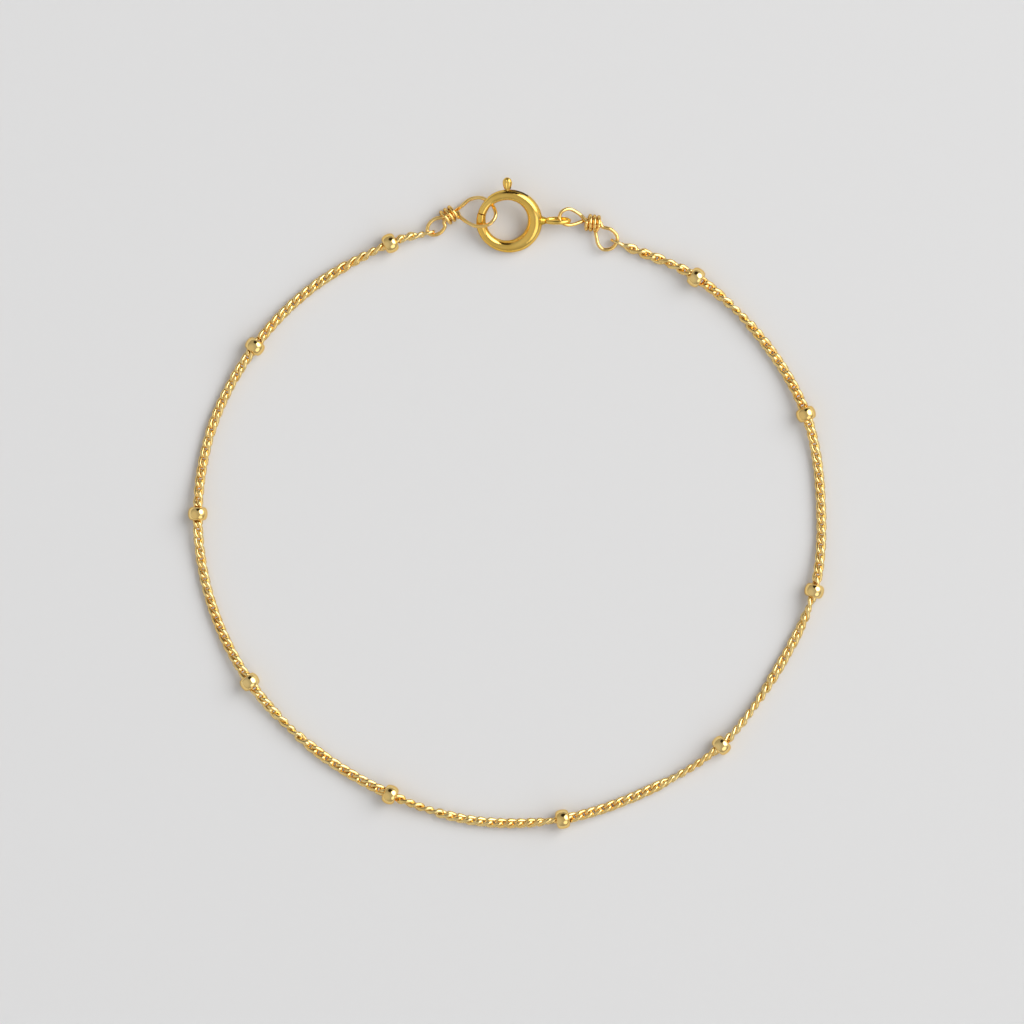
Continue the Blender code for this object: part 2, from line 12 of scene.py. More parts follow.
import bmesh
import bpy
import numpy as np
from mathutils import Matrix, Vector

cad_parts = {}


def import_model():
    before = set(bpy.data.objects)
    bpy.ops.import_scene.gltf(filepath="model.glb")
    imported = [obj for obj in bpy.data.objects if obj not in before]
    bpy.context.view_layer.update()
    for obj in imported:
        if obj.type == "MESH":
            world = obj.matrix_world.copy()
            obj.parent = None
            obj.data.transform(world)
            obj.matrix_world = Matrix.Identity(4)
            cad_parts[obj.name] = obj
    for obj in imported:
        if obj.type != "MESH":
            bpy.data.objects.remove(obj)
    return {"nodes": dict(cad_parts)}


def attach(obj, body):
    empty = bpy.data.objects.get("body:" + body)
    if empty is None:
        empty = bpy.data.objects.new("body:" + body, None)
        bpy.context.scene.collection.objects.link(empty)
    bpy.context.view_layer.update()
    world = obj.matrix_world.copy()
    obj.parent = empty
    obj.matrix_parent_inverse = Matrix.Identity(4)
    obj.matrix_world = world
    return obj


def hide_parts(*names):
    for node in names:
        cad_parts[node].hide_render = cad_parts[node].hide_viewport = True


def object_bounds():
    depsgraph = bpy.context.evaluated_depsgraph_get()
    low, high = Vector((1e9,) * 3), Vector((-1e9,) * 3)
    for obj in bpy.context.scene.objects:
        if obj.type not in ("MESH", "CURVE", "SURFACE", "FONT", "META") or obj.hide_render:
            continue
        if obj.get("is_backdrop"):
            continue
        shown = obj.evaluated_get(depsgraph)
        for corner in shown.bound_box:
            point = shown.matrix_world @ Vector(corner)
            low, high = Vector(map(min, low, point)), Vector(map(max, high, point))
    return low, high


MM = 0.001
SAME_PLACE = 1e-7
SHARP_ANGLE = math.radians(72.0)
UP = np.array([0.0, 0.0, 1.0])
# A direction that no wire here starts along, to find the first direction across it
ODD_DIRECTION = np.array([0.31, 0.17, 0.93])
# An axis that rises by more than this is taken as upright
NEARLY_UPRIGHT = 0.9
# Rows up to this angle past the slot's ends still count as within it
SAME_ANGLE = 1e-6
# The point near the far end of a chain loop, where its end link hooks on
LOOP_TIP = 3
LOG = logging.getLogger("anklet")


class Side(Enum):
    """The two sides of the clasp, seen from above with the clasp at the top."""

    LEFT = "left"
    RIGHT = "right"


def unit(vectors: np.ndarray) -> np.ndarray:
    """Vectors divided by their own lengths, along the last axis."""
    return vectors / np.linalg.norm(vectors, axis=-1, keepdims=True)


def direction(angle: np.ndarray | float) -> np.ndarray:
    """The level unit vector at this angle: its cosine, its sine and zero."""
    return np.stack([np.cos(angle), np.sin(angle), np.zeros_like(np.asarray(angle, float))], axis=-1)


def smooth_through(points: np.ndarray, steps: int) -> np.ndarray:
    """A smooth curve through points, as Catmull and Rom's cubic.

    Between two points the curve is half of the sum of four cubics in t, each weighting one of the four
    nearest points, so that it passes through both with the slope of the chord between their neighbours.

    Args:
        points: The points, one a row.
        steps: Steps between two of them.

    Returns:
        The curve's points, the last one included.
    """
    ends = (2 * points[:1] - points[1:2], points, 2 * points[-1:] - points[-2:-1])
    padded = np.concatenate(ends)
    before, start, end, after = padded[:-3], padded[1:-2], padded[2:-1], padded[3:]
    t = np.arange(steps)[None, :, None] / steps
    before, start, end, after = (row[:, None, :] for row in (before, start, end, after))
    curve = 0.5 * (
        2 * start
        + (end - before) * t
        + (2 * before - 5 * start + 4 * end - after) * t**2
        + (3 * start - before - 3 * end + after) * t**3
    )
    return np.concatenate([curve.reshape(-1, points.shape[1]), points[-1:]])


def lengths_along(path: np.ndarray) -> np.ndarray:
    """The distance along a path at each of its points, from zero."""
    return np.concatenate([[0.0], np.cumsum(np.linalg.norm(np.diff(path, axis=0), axis=1))])


def sampled(rows: np.ndarray, reach: np.ndarray, places: np.ndarray) -> np.ndarray:
    """Rows known at rising distances, read off in between them at other distances."""
    return np.stack([np.interp(places, reach, rows[:, axis]) for axis in range(rows.shape[1])], axis=1)


def tangents(path: np.ndarray, closed: bool = False) -> np.ndarray:
    """Unit tangents of a path, from the chord between each point's two neighbours."""
    if closed:
        return unit(np.roll(path, -1, axis=-2) - np.roll(path, 1, axis=-2))
    return unit(np.gradient(path, axis=0))


@dataclass
class Surface:
    """A mesh under construction: its points, its four-sided faces and a map place for each point."""

    points: np.ndarray
    quads: np.ndarray
    places: np.ndarray

    @staticmethod
    def grid(points: np.ndarray, places: np.ndarray, wrap_rows: bool, wrap_columns: bool) -> "Surface":
        """A surface over a grid of points.

        Args:
            points: Rows by columns by 3.
            places: Rows by columns by 2, the map places in millimetres.
            wrap_rows: Whether the last row joins the first.
            wrap_columns: Whether the last column joins the first.

        Returns:
            The surface, with a face for each cell of the grid.
        """
        rows, columns = points.shape[:2]
        row = np.arange(rows if wrap_rows else rows - 1)[:, None]
        column = np.arange(columns if wrap_columns else columns - 1)[None, :]
        below = (row + 1) % rows
        beside = (column + 1) % columns
        here, next_row = row * columns, below * columns
        corners = (here + column, here + beside, next_row + beside, next_row + column)
        quads = np.stack(np.broadcast_arrays(*corners), axis=-1).reshape(-1, 4)
        return Surface(points.reshape(-1, 3), quads, places.reshape(-1, 2))

    @staticmethod
    def joined(parts: list["Surface"]) -> "Surface":
        """Several surfaces as one mesh."""
        starts = np.cumsum([0] + [len(part.points) for part in parts[:-1]])
        return Surface(
            np.concatenate([part.points for part in parts]),
            np.concatenate([part.quads + start for part, start in zip(parts, starts)]),
            np.concatenate([part.places for part in parts]),
        )

    def chosen(self, keep: np.ndarray) -> "Surface":
        """The surface with only these faces and the points that they use."""
        used, quads = np.unique(self.quads[keep], return_inverse=True)
        return Surface(self.points[used], quads.reshape(-1, 4), self.places[used])

    def flipped(self) -> "Surface":
        """The same surface with its faces turned to the other side."""
        return Surface(self.points, self.quads[:, ::-1], self.places)

    def make(
        self,
        name: str,
        body: str,
        replaces: str,
        slot: str,
        material: bpy.types.Material,
        second: bpy.types.Material | None = None,
        in_second: np.ndarray | None = None,
    ) -> bpy.types.Object:
        """Puts the surface into the scene as a finished piece, with the points that share a place made one.

        Args:
            name: The piece's name.
            body: The body that it rides on.
            replaces: The solid that it stands for.
            slot: Not used.
            material: Its finish.
            second: A second finish, for some of its faces.
            in_second: Which faces have the second finish.

        Returns:
            The object, at the origin, with its place in its mesh.
        """
        mesh = bpy.data.meshes.new(name)
        mesh.vertices.add(len(self.points))
        mesh.vertices.foreach_set("co", self.points.astype(np.float32).ravel())
        mesh.loops.add(self.quads.size)
        mesh.loops.foreach_set("vertex_index", self.quads.astype(np.int32).ravel())
        mesh.polygons.add(len(self.quads))
        mesh.polygons.foreach_set("loop_start", np.arange(0, self.quads.size, 4, dtype=np.int32))
        layer = mesh.uv_layers.new(name="UVMap")
        layer.data.foreach_set("uv", self.places[self.quads.ravel()].astype(np.float32).ravel())
        mesh.materials.append(material)
        if second is not None:
            mesh.materials.append(second)
            mesh.polygons.foreach_set("material_index", in_second.astype(np.int32))
        mesh.update(calc_edges=True)
        weld = bmesh.new()
        weld.from_mesh(mesh)
        bmesh.ops.remove_doubles(weld, verts=weld.verts, dist=SAME_PLACE)
        weld.to_mesh(mesh)
        weld.free()
        mesh.validate()
        mesh.shade_smooth()
        mesh.set_sharp_from_angle(angle=SHARP_ANGLE)
        piece = bpy.data.objects.new(name, mesh)
        bpy.context.collection.objects.link(piece)
        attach(piece, body)
        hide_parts(replaces)
        LOG.info("%s: %d faces on %s", name, len(self.quads), body)
        return piece


def swept(
    path: np.ndarray, reference: np.ndarray, radius: np.ndarray | float, sides: int, closed: bool
) -> Surface:
    """A round tube along a path.

    Each point of the path carries a circle in the plane across its tangent. The circle starts from the
    reference direction with its part along the tangent taken away, and the second axis is the tangent's
    cross product with the first.

    Args:
        path: The tube's middle, one point a row.
        reference: One direction for each point, never along the tangent.
        radius: The tube's radius, one value or one for each point.
        sides: Points round the tube.
        closed: Whether the path's end meets its start.

    Returns:
        The tube's surface, open at both ends unless closed.
    """
    along = tangents(path, closed)
    first = unit(reference - np.sum(reference * along, axis=1, keepdims=True) * along)
    second = np.cross(along, first)
    angle = np.linspace(0, 2 * np.pi, sides, endpoint=False)
    cosine, sine = np.cos(angle)[None, :, None], np.sin(angle)[None, :, None]
    around = first[:, None, :] * cosine + second[:, None, :] * sine
    reach = np.broadcast_to(np.asarray(radius, float), (len(path),))
    points = path[:, None, :] + around * reach[:, None, None]
    run = lengths_along(path)[:, None] / MM
    round_run = (angle[None, :] * reach[:, None]) / MM
    places = np.stack(np.broadcast_arrays(run, round_run), axis=-1)
    return Surface.grid(points, places, closed, True)


def domed_path(path: np.ndarray, reference: np.ndarray, radius: float, rings: int) -> tuple[np.ndarray, ...]:
    """A path with round ends: rings at each end whose radius follows a quarter circle down to nothing.

    Args:
        path: The wire's middle.
        reference: The section's reference direction at each point.
        radius: The wire's radius.
        rings: Rings in each dome.

    Returns:
        The longer path, its reference directions and its radii.
    """
    turn = np.linspace(0, np.pi / 2, rings + 1)[1:]
    start_out = unit(path[0] - path[1])
    end_out = unit(path[-1] - path[-2])
    start = path[0] + start_out * radius * np.sin(turn[::-1])[:, None]
    end = path[-1] + end_out * radius * np.sin(turn)[:, None]
    longer = np.concatenate([start, path, end])
    before, after = np.repeat(reference[:1], rings, 0), np.repeat(reference[-1:], rings, 0)
    turned = np.concatenate([before, reference, after])
    radii = np.concatenate([radius * np.cos(turn[::-1]), np.full(len(path), radius), radius * np.cos(turn)])
    return longer, turned, radii


def carried_directions(path: np.ndarray) -> np.ndarray:
    """One direction across a wire for each of its points, carried along it without twisting.

    Each direction is the one before it, turned by the rotation that takes the one tangent to the next.

    Args:
        path: The wire's middle, one point a row.

    Returns:
        Unit directions, one a row.
    """
    along = tangents(path)
    found = np.empty_like(along)
    found[0] = unit(np.cross(along[0], ODD_DIRECTION))
    for step in range(1, len(path)):
        carried = found[step - 1] - np.dot(found[step - 1], along[step]) * along[step]
        found[step] = carried / np.linalg.norm(carried)
    return found


def turned_solid(
    axis: np.ndarray, start: np.ndarray, along: np.ndarray, reach: np.ndarray, sides: int, ring: bool = False
) -> Surface:
    """A surface turned round an axis, as on a lathe.

    Args:
        axis: The unit direction of the axis.
        start: The point of the axis that distances are measured from.
        along: Distances along the axis, one for each row.
        reach: Distances from the axis, one for each row.
        sides: Points round the axis.
        ring: Whether the outline's end meets its start, as on a bead with a hole.

    Returns:
        The surface. It is closed where the reach ends near zero.
    """
    first = unit(np.cross(axis, UP if abs(axis[2]) < NEARLY_UPRIGHT else np.array([1.0, 0.0, 0.0])))
    second = np.cross(axis, first)
    angle = np.linspace(0, 2 * np.pi, sides, endpoint=False)
    around = first * np.cos(angle)[:, None] + second * np.sin(angle)[:, None]
    points = start + axis * along[:, None, None] + around[None] * reach[:, None, None]
    places = np.stack(np.broadcast_arrays(along[:, None], angle[None, :] * reach.max()), axis=-1) / MM
    return Surface.grid(points, places, ring, True)


# Shader parts


class Group:
    """A shared shader effect: a node group with named sockets."""

    def __init__(self, name: str, inputs: dict[str, float], outputs: dict[str, str]) -> None:
        """Makes the group with its sockets.

        Args:
            name: The group's name.
            inputs: The number inputs with their usual values.
            outputs: The outputs with their socket types.
        """
        self.tree = bpy.data.node_groups.new(name, "ShaderNodeTree")
        for label, value in inputs.items():
            socket = self.tree.interface.new_socket(label, in_out="INPUT", socket_type="NodeSocketFloat")
            socket.default_value = value
        for label, kind in outputs.items():
            self.tree.interface.new_socket(label, in_out="OUTPUT", socket_type=kind)
        self.entry = self.tree.nodes.new("NodeGroupInput")
        self.exit = self.tree.nodes.new("NodeGroupOutput")

    def node(self, kind: str, **settings: object) -> bpy.types.Node:
        """A new node of this kind with these settings."""
        made = self.tree.nodes.new(kind)
        for label, value in settings.items():
            setattr(made, label, value)
        return made

    def link(self, source: bpy.types.NodeSocket, target: bpy.types.NodeSocket) -> None:
        """Joins one socket to another."""
        self.tree.links.new(source, target)


def polish_marks() -> bpy.types.NodeTree:
    """Fine marks of a polishing cloth: stretched noise as a slight bump, with a mask for the dull streaks."""
    group = Group(
        "polish_marks",
        {"Scale": 2600.0, "Depth": 0.02},
        {"Normal": "NodeSocketVector", "Streaks": "NodeSocketFloat"},
    )
    place = group.node("ShaderNodeTexCoord")
    stretch = group.node("ShaderNodeMapping")
    stretch.inputs["Rotation"].default_value = (0.4, 0.7, 0.3)
    stretch.inputs["Scale"].default_value = (1.0, 0.22, 0.6)
    noise = group.node("ShaderNodeTexNoise")
    noise.inputs["Detail"].default_value = 3.0
    noise.inputs["Roughness"].default_value = 0.62
    bump = group.node("ShaderNodeBump")
    bump.inputs["Distance"].default_value = 0.00002
    streaks = group.node("ShaderNodeMapRange", interpolation_type="SMOOTHSTEP")
    streaks.inputs["From Min"].default_value = 0.46
    streaks.inputs["From Max"].default_value = 0.70
    group.link(place.outputs["Object"], stretch.inputs["Vector"])
    group.link(stretch.outputs["Vector"], noise.inputs["Vector"])
    group.link(group.entry.outputs["Scale"], noise.inputs["Scale"])
    group.link(noise.outputs["Fac"], bump.inputs["Height"])
    group.link(group.entry.outputs["Depth"], bump.inputs["Strength"])
    group.link(noise.outputs["Fac"], streaks.inputs["Value"])
    group.link(bump.outputs["Normal"], group.exit.inputs["Normal"])
    group.link(streaks.outputs["Result"], group.exit.inputs["Streaks"])
    return group.tree


def tone_drift() -> bpy.types.NodeTree:
    """A slow change of tone over the metal, as a mask from soft noise a few millimetres across."""
    group = Group("tone_drift", {"Scale": 420.0}, {"Mask": "NodeSocketFloat"})
    place = group.node("ShaderNodeTexCoord")
    noise = group.node("ShaderNodeTexNoise")
    noise.inputs["Detail"].default_value = 1.5
    spread = group.node("ShaderNodeMapRange", interpolation_type="SMOOTHSTEP")
    spread.inputs["From Min"].default_value = 0.35
    spread.inputs["From Max"].default_value = 0.65
    group.link(place.outputs["Object"], noise.inputs["Vector"])
    group.link(group.entry.outputs["Scale"], noise.inputs["Scale"])
    group.link(noise.outputs["Fac"], spread.inputs["Value"])
    group.link(spread.outputs["Result"], group.exit.inputs["Mask"])
    return group.tree


@dataclass(frozen=True)
class GoldFinish:
    """Polished gold: two close tones, an edge tone and how smooth the polish is."""

    name: str
    pale: tuple[float, float, float]
    warm: tuple[float, float, float]
    edge: tuple[float, float, float]
    smooth: float
    dull: float
    mark_scale: float
    mark_depth: float

    def material(self, marks: bpy.types.NodeTree, drift: bpy.types.NodeTree) -> bpy.types.Material:
        """The finish as a material.

        Args:
            marks: The polishing marks' group.
            drift: The tone change's group.

        Returns:
            The material, with the two groups driving its colour, roughness and normal.
        """
        made = bpy.data.materials.new(self.name)
        made.use_nodes = True
        made.diffuse_color = (*self.warm, 1.0)
        tree = made.node_tree
        shader = tree.nodes["Principled BSDF"]
        shader.inputs["Metallic"].default_value = 1.0
        shader.inputs["Specular Tint"].default_value = (*self.edge, 1.0)
        scratches = tree.nodes.new("ShaderNodeGroup")
        scratches.node_tree = marks
        scratches.inputs["Scale"].default_value = self.mark_scale
        scratches.inputs["Depth"].default_value = self.mark_depth
        tone = tree.nodes.new("ShaderNodeGroup")
        tone.node_tree = drift
        blend = tree.nodes.new("ShaderNodeMix")
        blend.data_type = "RGBA"
        blend.inputs["A"].default_value = (*self.pale, 1.0)
        blend.inputs["B"].default_value = (*self.warm, 1.0)
        rough = tree.nodes.new("ShaderNodeMapRange")
        rough.inputs["To Min"].default_value = self.smooth
        rough.inputs["To Max"].default_value = self.dull
        tree.links.new(tone.outputs["Mask"], blend.inputs["Factor"])
        tree.links.new(blend.outputs["Result"], shader.inputs["Base Color"])
        tree.links.new(scratches.outputs["Streaks"], rough.inputs["Value"])
        tree.links.new(rough.outputs["Result"], shader.inputs["Roughness"])
        tree.links.new(scratches.outputs["Normal"], shader.inputs["Normal"])
        return made


CHAIN_FINISH = GoldFinish(
    "chain_gold", (1.0, 0.76, 0.33), (1.0, 0.70, 0.26), (0.74, 0.54, 0.27), 0.14, 0.25, 3000.0, 0.06
)
BEAD_FINISH = GoldFinish(
    "bead_gold", (1.0, 0.74, 0.31), (1.0, 0.69, 0.24), (0.82, 0.64, 0.38), 0.06, 0.13, 2600.0, 0.06
)
CLASP_FINISH = GoldFinish(
    "clasp_gold", (1.0, 0.67, 0.17), (0.96, 0.60, 0.12), (0.62, 0.43, 0.17), 0.10, 0.24, 5200.0, 0.50
)
SOLDER_FINISH = GoldFinish(
    "solder_gold", (0.66, 0.43, 0.07), (0.55, 0.34, 0.05), (0.76, 0.56, 0.26), 0.28, 0.42, 3600.0, 0.12
)
# Painted shade: this dark tone stands in for the shade inside the ring's hollow tube, on its bore and the
# slot's sides
SHADED_BORE_FINISH = GoldFinish(
    "bore_painted_shade", (0.42, 0.30, 0.12), (0.34, 0.23, 0.08), (0.50, 0.40, 0.22), 0.42, 0.58, 3600.0, 0.15
)
WIRE_FINISH = GoldFinish(
    "wire_gold", (1.0, 0.71, 0.27), (1.0, 0.65, 0.20), (0.58, 0.40, 0.17), 0.06, 0.13, 3200.0, 0.08
)


@dataclass(frozen=True)
class Finishes:
    """The finishes as materials, one for each kind of metal surface, and one whose dark tone is painted shade
    for the ring's bore and the slot's sides.
    """

    chain: bpy.types.Material
    bead: bpy.types.Material
    clasp: bpy.types.Material
    solder: bpy.types.Material
    # Its dark tone is painted shade, for the ring's bore and the slot's sides
    bore: bpy.types.Material
    wire: bpy.types.Material

    @staticmethod
    def mixed() -> "Finishes":
        """All the materials, sharing the two groups."""
        marks, drift = polish_marks(), tone_drift()
        kinds = (CHAIN_FINISH, BEAD_FINISH, CLASP_FINISH, SOLDER_FINISH, SHADED_BORE_FINISH, WIRE_FINISH)
        return Finishes(*(kind.material(marks, drift) for kind in kinds))


# Chain


CHAIN_ROUTE_MM = [
    (22.10, 26.50),
    (29.60, 19.55),
    (34.95, 10.50),
    (36.70, 0.25),
    (35.92, -10.15),
    (31.45, -19.70),
    (25.07, -28.22),
    (16.30, -33.60),
    (6.50, -36.85),
    (-3.80, -37.05),
    (-13.68, -33.98),
    (-22.75, -28.52),
    (-30.10, -20.80),
    (-34.65, -11.45),
    (-36.16, -1.14),
    (-34.42, 9.20),
    (-29.48, 18.42),
    (-22.60, 25.42),
    (-13.67, 30.48),
]
# How the flat of the links turns about the chain on its way round: millimetres from the first link, degrees
LINK_ROLLS = [
    (0.0, 0.0),
    (3.5, 150.0),
    (7.0, 300.0),
    (8.8, 340.0),
    (10.5, 360.0),
    (12.9, 375.0),
    (14.6, 440.0),
    (17.6, 465.0),
    (19.3, 500.0),
    (21.1, 535.0),
    (29.2, 545.0),
    (30.7, 560.0),
    (49.7, 565.0),
    (51.5, 620.0),
    (53.2, 630.0),
    (55.0, 600.0),
    (57.3, 568.0),
    (62.0, 560.0),
    (63.8, 590.0),
    (65.5, 625.0),
    (70.2, 635.0),
    (73.1, 660.0),
    (74.9, 640.0),
    (79.0, 630.0),
    (81.3, 580.0),
    (84.2, 555.0),
    (91.8, 555.0),
    (94.8, 640.0),
    (96.5, 600.0),
    (98.9, 585.0),
    (107.1, 585.0),
    (108.8, 630.0),
    (112.9, 640.0),
    (115.2, 700.0),
    (118.2, 715.0),
    (125.4, 720.0),
    (127.5, 800.0),
    (129.3, 810.0),
    (131.3, 860.0),
    (134.0, 890.0),
    (136.3, 885.0),
    (155.0, 885.0),
    (157.4, 875.0),
    (175.5, 875.0),
    (178.4, 880.0),
    (191.3, 900.0),
    (193.6, 975.0),
    (197.7, 1000.0),
    (201.2, 1010.0),
]


@dataclass
class BeadPlace:
    """Where a bead is threaded: its middle, and the chain's heading through it."""

    middle: np.ndarray
    heading: np.ndarray


@dataclass
class ChainPath:
    """The chain's way round: down on the surface between beads, and raised to pass through them."""

    right_end: np.ndarray
    left_end: np.ndarray
    bead_height: float
    bead_length: float = 1.56 * MM
    rest_height: float = 0.64 * MM
    settle_length: float = 3.2 * MM
    steps: int = 60
    points: np.ndarray = field(init=False)
    beads: list[BeadPlace] = field(init=False)

    def __post_init__(self) -> None:
        """Works out the beads' places and the chain's middle line."""
        route = np.array([(x, y, 0.0) for x, y in CHAIN_ROUTE_MM]) * MM
        level = smooth_through(np.concatenate([self.right_end[None], route, self.left_end[None]]), self.steps)
        reach = lengths_along(level)
        heading = tangents(level)
        at = (np.arange(0, len(route), 2) + 1) * self.steps
        self.beads = [BeadPlace(level[i] + UP * self.bead_height, heading[i]) for i in at]
        from_face = np.abs(reach[:, None] - reach[at][None, :]).min(axis=1) - self.bead_length / 2
        bump = np.exp(-((np.maximum(from_face, 0.0) / self.settle_length) ** 2))
        level[:, 2] = self.rest_height + (self.bead_height - self.rest_height) * bump
        self.points = level


@dataclass
class CurbChain:
    """Twisted oval links, each reaching into its neighbours, in one joined mesh.

    The wire is thicker than the links leave room for, so that neighbours run into each other where they meet.
    """

    path: np.ndarray
    link_length: float = 1.80 * MM
    link_width: float = 0.80 * MM
    wire: float = 0.47 * MM
    pitch: float = 1.185 * MM
    link_steps: int = 16
    sides: int = 7
    squareness: float = 0.66
    twist: float = math.radians(-118.0)
    loose_roll: float = math.radians(7.0)
    seed: int = 7

    def links(self) -> np.ndarray:
        """The links' middles as distances along the path, as many as fit at about the pitch."""
        first = (self.link_length + self.wire) / 2
        last = lengths_along(self.path)[-1] - first
        return np.linspace(first, last, round((last - first) / self.pitch) + 1)

    def rolls(self, middles: np.ndarray) -> np.ndarray:
        """Each link's own turn about the chain: the table's, and a seeded normal draw for each."""
        reach, turn = np.array(LINK_ROLLS).T
        slack = np.random.default_rng(self.seed).normal(0.0, self.loose_roll, len(middles))
        return np.radians(np.interp(middles / MM, reach, turn)) + slack

    def surface(self) -> Surface:
        """The links' surface.

        A link's middle line is a squared oval: the cosine and sine of an angle, each raised to the
        squareness, which is under one, with its sign kept. It lies along the chain's path, and its width
        direction turns about the path by the twist from one end of the link to the other. Round that line
        goes a ring of the wire's radius.
        """
        middles = self.links()
        angle = np.linspace(0, 2 * np.pi, self.link_steps, endpoint=False)
        cosine, sine = np.cos(angle), np.sin(angle)
        half_length = self.link_length / 2 * np.sign(cosine) * np.abs(cosine) ** self.squareness
        half_width = self.link_width / 2 * np.sign(sine) * np.abs(sine) ** self.squareness
        places = middles[:, None] + half_length[None, :]
        flat = places.ravel()
        reach = lengths_along(self.path)
        spot = sampled(self.path, reach, flat)
        along = unit(sampled(tangents(self.path), reach, flat))
        side = unit(np.cross(UP, along))
        up = np.cross(along, side)
        roll = (self.rolls(middles)[:, None] + self.twist * half_length[None, :] / self.link_length).ravel()
        lateral = side * np.cos(roll)[:, None] + up * np.sin(roll)[:, None]
        facing = np.cross(along, lateral)
        width = np.tile(half_width, len(middles))
        line = (spot + lateral * width[:, None]).reshape(len(middles), self.link_steps, 3)
        facing = facing.reshape(line.shape)
        tangent = tangents(line, closed=True)
        first = unit(facing - np.sum(facing * tangent, axis=-1, keepdims=True) * tangent)
        second = np.cross(tangent, first)
        turn = np.linspace(0, 2 * np.pi, self.sides, endpoint=False)
        around = first[..., None, :] * np.cos(turn)[:, None] + second[..., None, :] * np.sin(turn)[:, None]
        points = (line[..., None, :] + around * self.wire / 2).reshape(-1, 3)
        cell = np.arange(self.link_steps * self.sides).reshape(self.link_steps, self.sides)
        after, beside = np.roll(cell, -1, axis=0), np.roll(cell, -1, axis=1)
        corner = np.roll(after, -1, axis=1)
        quads = np.stack([cell, beside, corner, after], axis=-1).reshape(1, -1, 4)
        quads = quads + (np.arange(len(middles)) * cell.size)[:, None, None]
        run = np.repeat(flat / MM, self.sides)
        round_run = np.tile(turn * self.wire / 2 / MM, len(flat))
        return Surface(points, quads.reshape(-1, 4), np.stack([run, round_run], axis=-1))

    def build(self, finishes: Finishes) -> list[bpy.types.Object]:
        """Makes the chain as one piece."""
        return [self.surface().make("curb_links", "anklet", "chain", "chain_gold", finishes.chain)]


@dataclass
class EndLink:
    """The plain oval link that joins the chain's end to a wire loop."""

    side: Side
    hooked: np.ndarray
    toward: np.ndarray
    loop_wire_radius: float
    wire_radius: float = 0.165 * MM
    length: float = 2.02 * MM
    clearance: float = 0.18 * MM
    slack: float = 0.30 * MM
    roll: float = math.radians(90.0)
    floor_gap: float = 0.03 * MM
    chain_wire: float = 0.47 * MM
    steps: int = 72
    sides: int = 14

    @property
    def half_width(self) -> float:
        """Half the link's width at its wire's middle."""
        return self.loop_wire_radius + self.wire_radius + self.clearance

    @property
    def height(self) -> float:
        """The height of the link's middle."""
        return self.half_width * math.sin(self.roll) + self.wire_radius + self.floor_gap

    @property
    def heading(self) -> np.ndarray:
        """The level direction from the hooked wire to the nearest bead."""
        return unit((self.toward - self.hooked) * np.array([1.0, 1.0, 0.0]))

    @property
    def middle(self) -> np.ndarray:
        """The link's middle: its inner end reaches past the hooked wire by the slack."""
        reach = self.length / 2 - 2 * self.wire_radius - self.loop_wire_radius - self.slack
        spot = self.hooked + self.heading * reach
        return np.array([spot[0], spot[1], self.height])

    def chain_start(self) -> np.ndarray:
        """The level point inside the link that the chain's own first link reaches, wire to wire."""
        spot = self.middle + self.heading * (self.length / 2 - 2 * self.wire_radius - self.chain_wire)
        return np.array([spot[0], spot[1], 0.0])

    def build(self, finishes: Finishes) -> list[bpy.types.Object]:
        """Makes the link: a closed tube round an oval that stands on its edge."""
        across = np.cross(UP, self.heading)
        lean = across * math.cos(self.roll) + UP * math.sin(self.roll)
        angle = np.linspace(0, 2 * np.pi, self.steps, endpoint=False)[:, None]
        half_length = self.length / 2 - self.wire_radius
        line = (
            self.middle
            + self.heading * half_length * np.cos(angle)
            + lean * self.half_width * np.sin(angle)
        )
        normal = np.tile(np.cross(self.heading, lean), (self.steps, 1))
        name = f"end_link_{self.side.value}"
        tube = swept(line, normal, self.wire_radius, self.sides, True)
        return [tube.make(f"{name}_wire", "anklet", name, "chain_gold", finishes.chain)]


# Beads


@dataclass
class Bead:
    """A drilled bead with a round belly, rolled lips at its hole and a short bore."""

    number: int
    place: BeadPlace
    radius: float = 1.146 * MM
    length: float = 1.56 * MM
    bore: float = 0.65 * MM
    lip: float = 0.13 * MM
    lip_flatness: float = 0.6
    belly_steps: int = 34
    lip_steps: int = 6
    sides: int = 64

    def profile(self) -> tuple[np.ndarray, np.ndarray]:
        """The bead's outline as distances along its hole and out from it.

        The belly is a half oval: the sine of an angle along the hole, and its cosine out from the rim. A half
        circle rolls each rim over into the bore, and a straight line closes the outline through the hole.
        """
        half_lip = self.lip / 2
        shoulder = self.length / 2 - half_lip * self.lip_flatness
        rim = self.bore + self.lip
        swing = np.linspace(-np.pi / 2, np.pi / 2, self.belly_steps)
        belly_along = shoulder * np.sin(swing)
        belly_reach = rim + (self.radius - rim) * np.cos(swing)
        roll = np.linspace(0, np.pi, self.lip_steps + 2)[1:]
        lip_along = shoulder + half_lip * self.lip_flatness * np.sin(roll)
        lip_reach = self.bore + half_lip + half_lip * np.cos(roll)
        along = np.concatenate([belly_along, lip_along, -lip_along[::-1]])
        reach = np.concatenate([belly_reach, lip_reach, lip_reach[::-1]])
        return along, reach

    def build(self, finishes: Finishes) -> list[bpy.types.Object]:
        """Makes the bead."""
        along, reach = self.profile()
        body = turned_solid(self.place.heading, self.place.middle, along, reach, self.sides, ring=True)
        name = f"bead_{self.number:02d}"
        return [body.make(f"{name}_shell", "anklet", name, "bead_gold", finishes.bead)]


# Wires


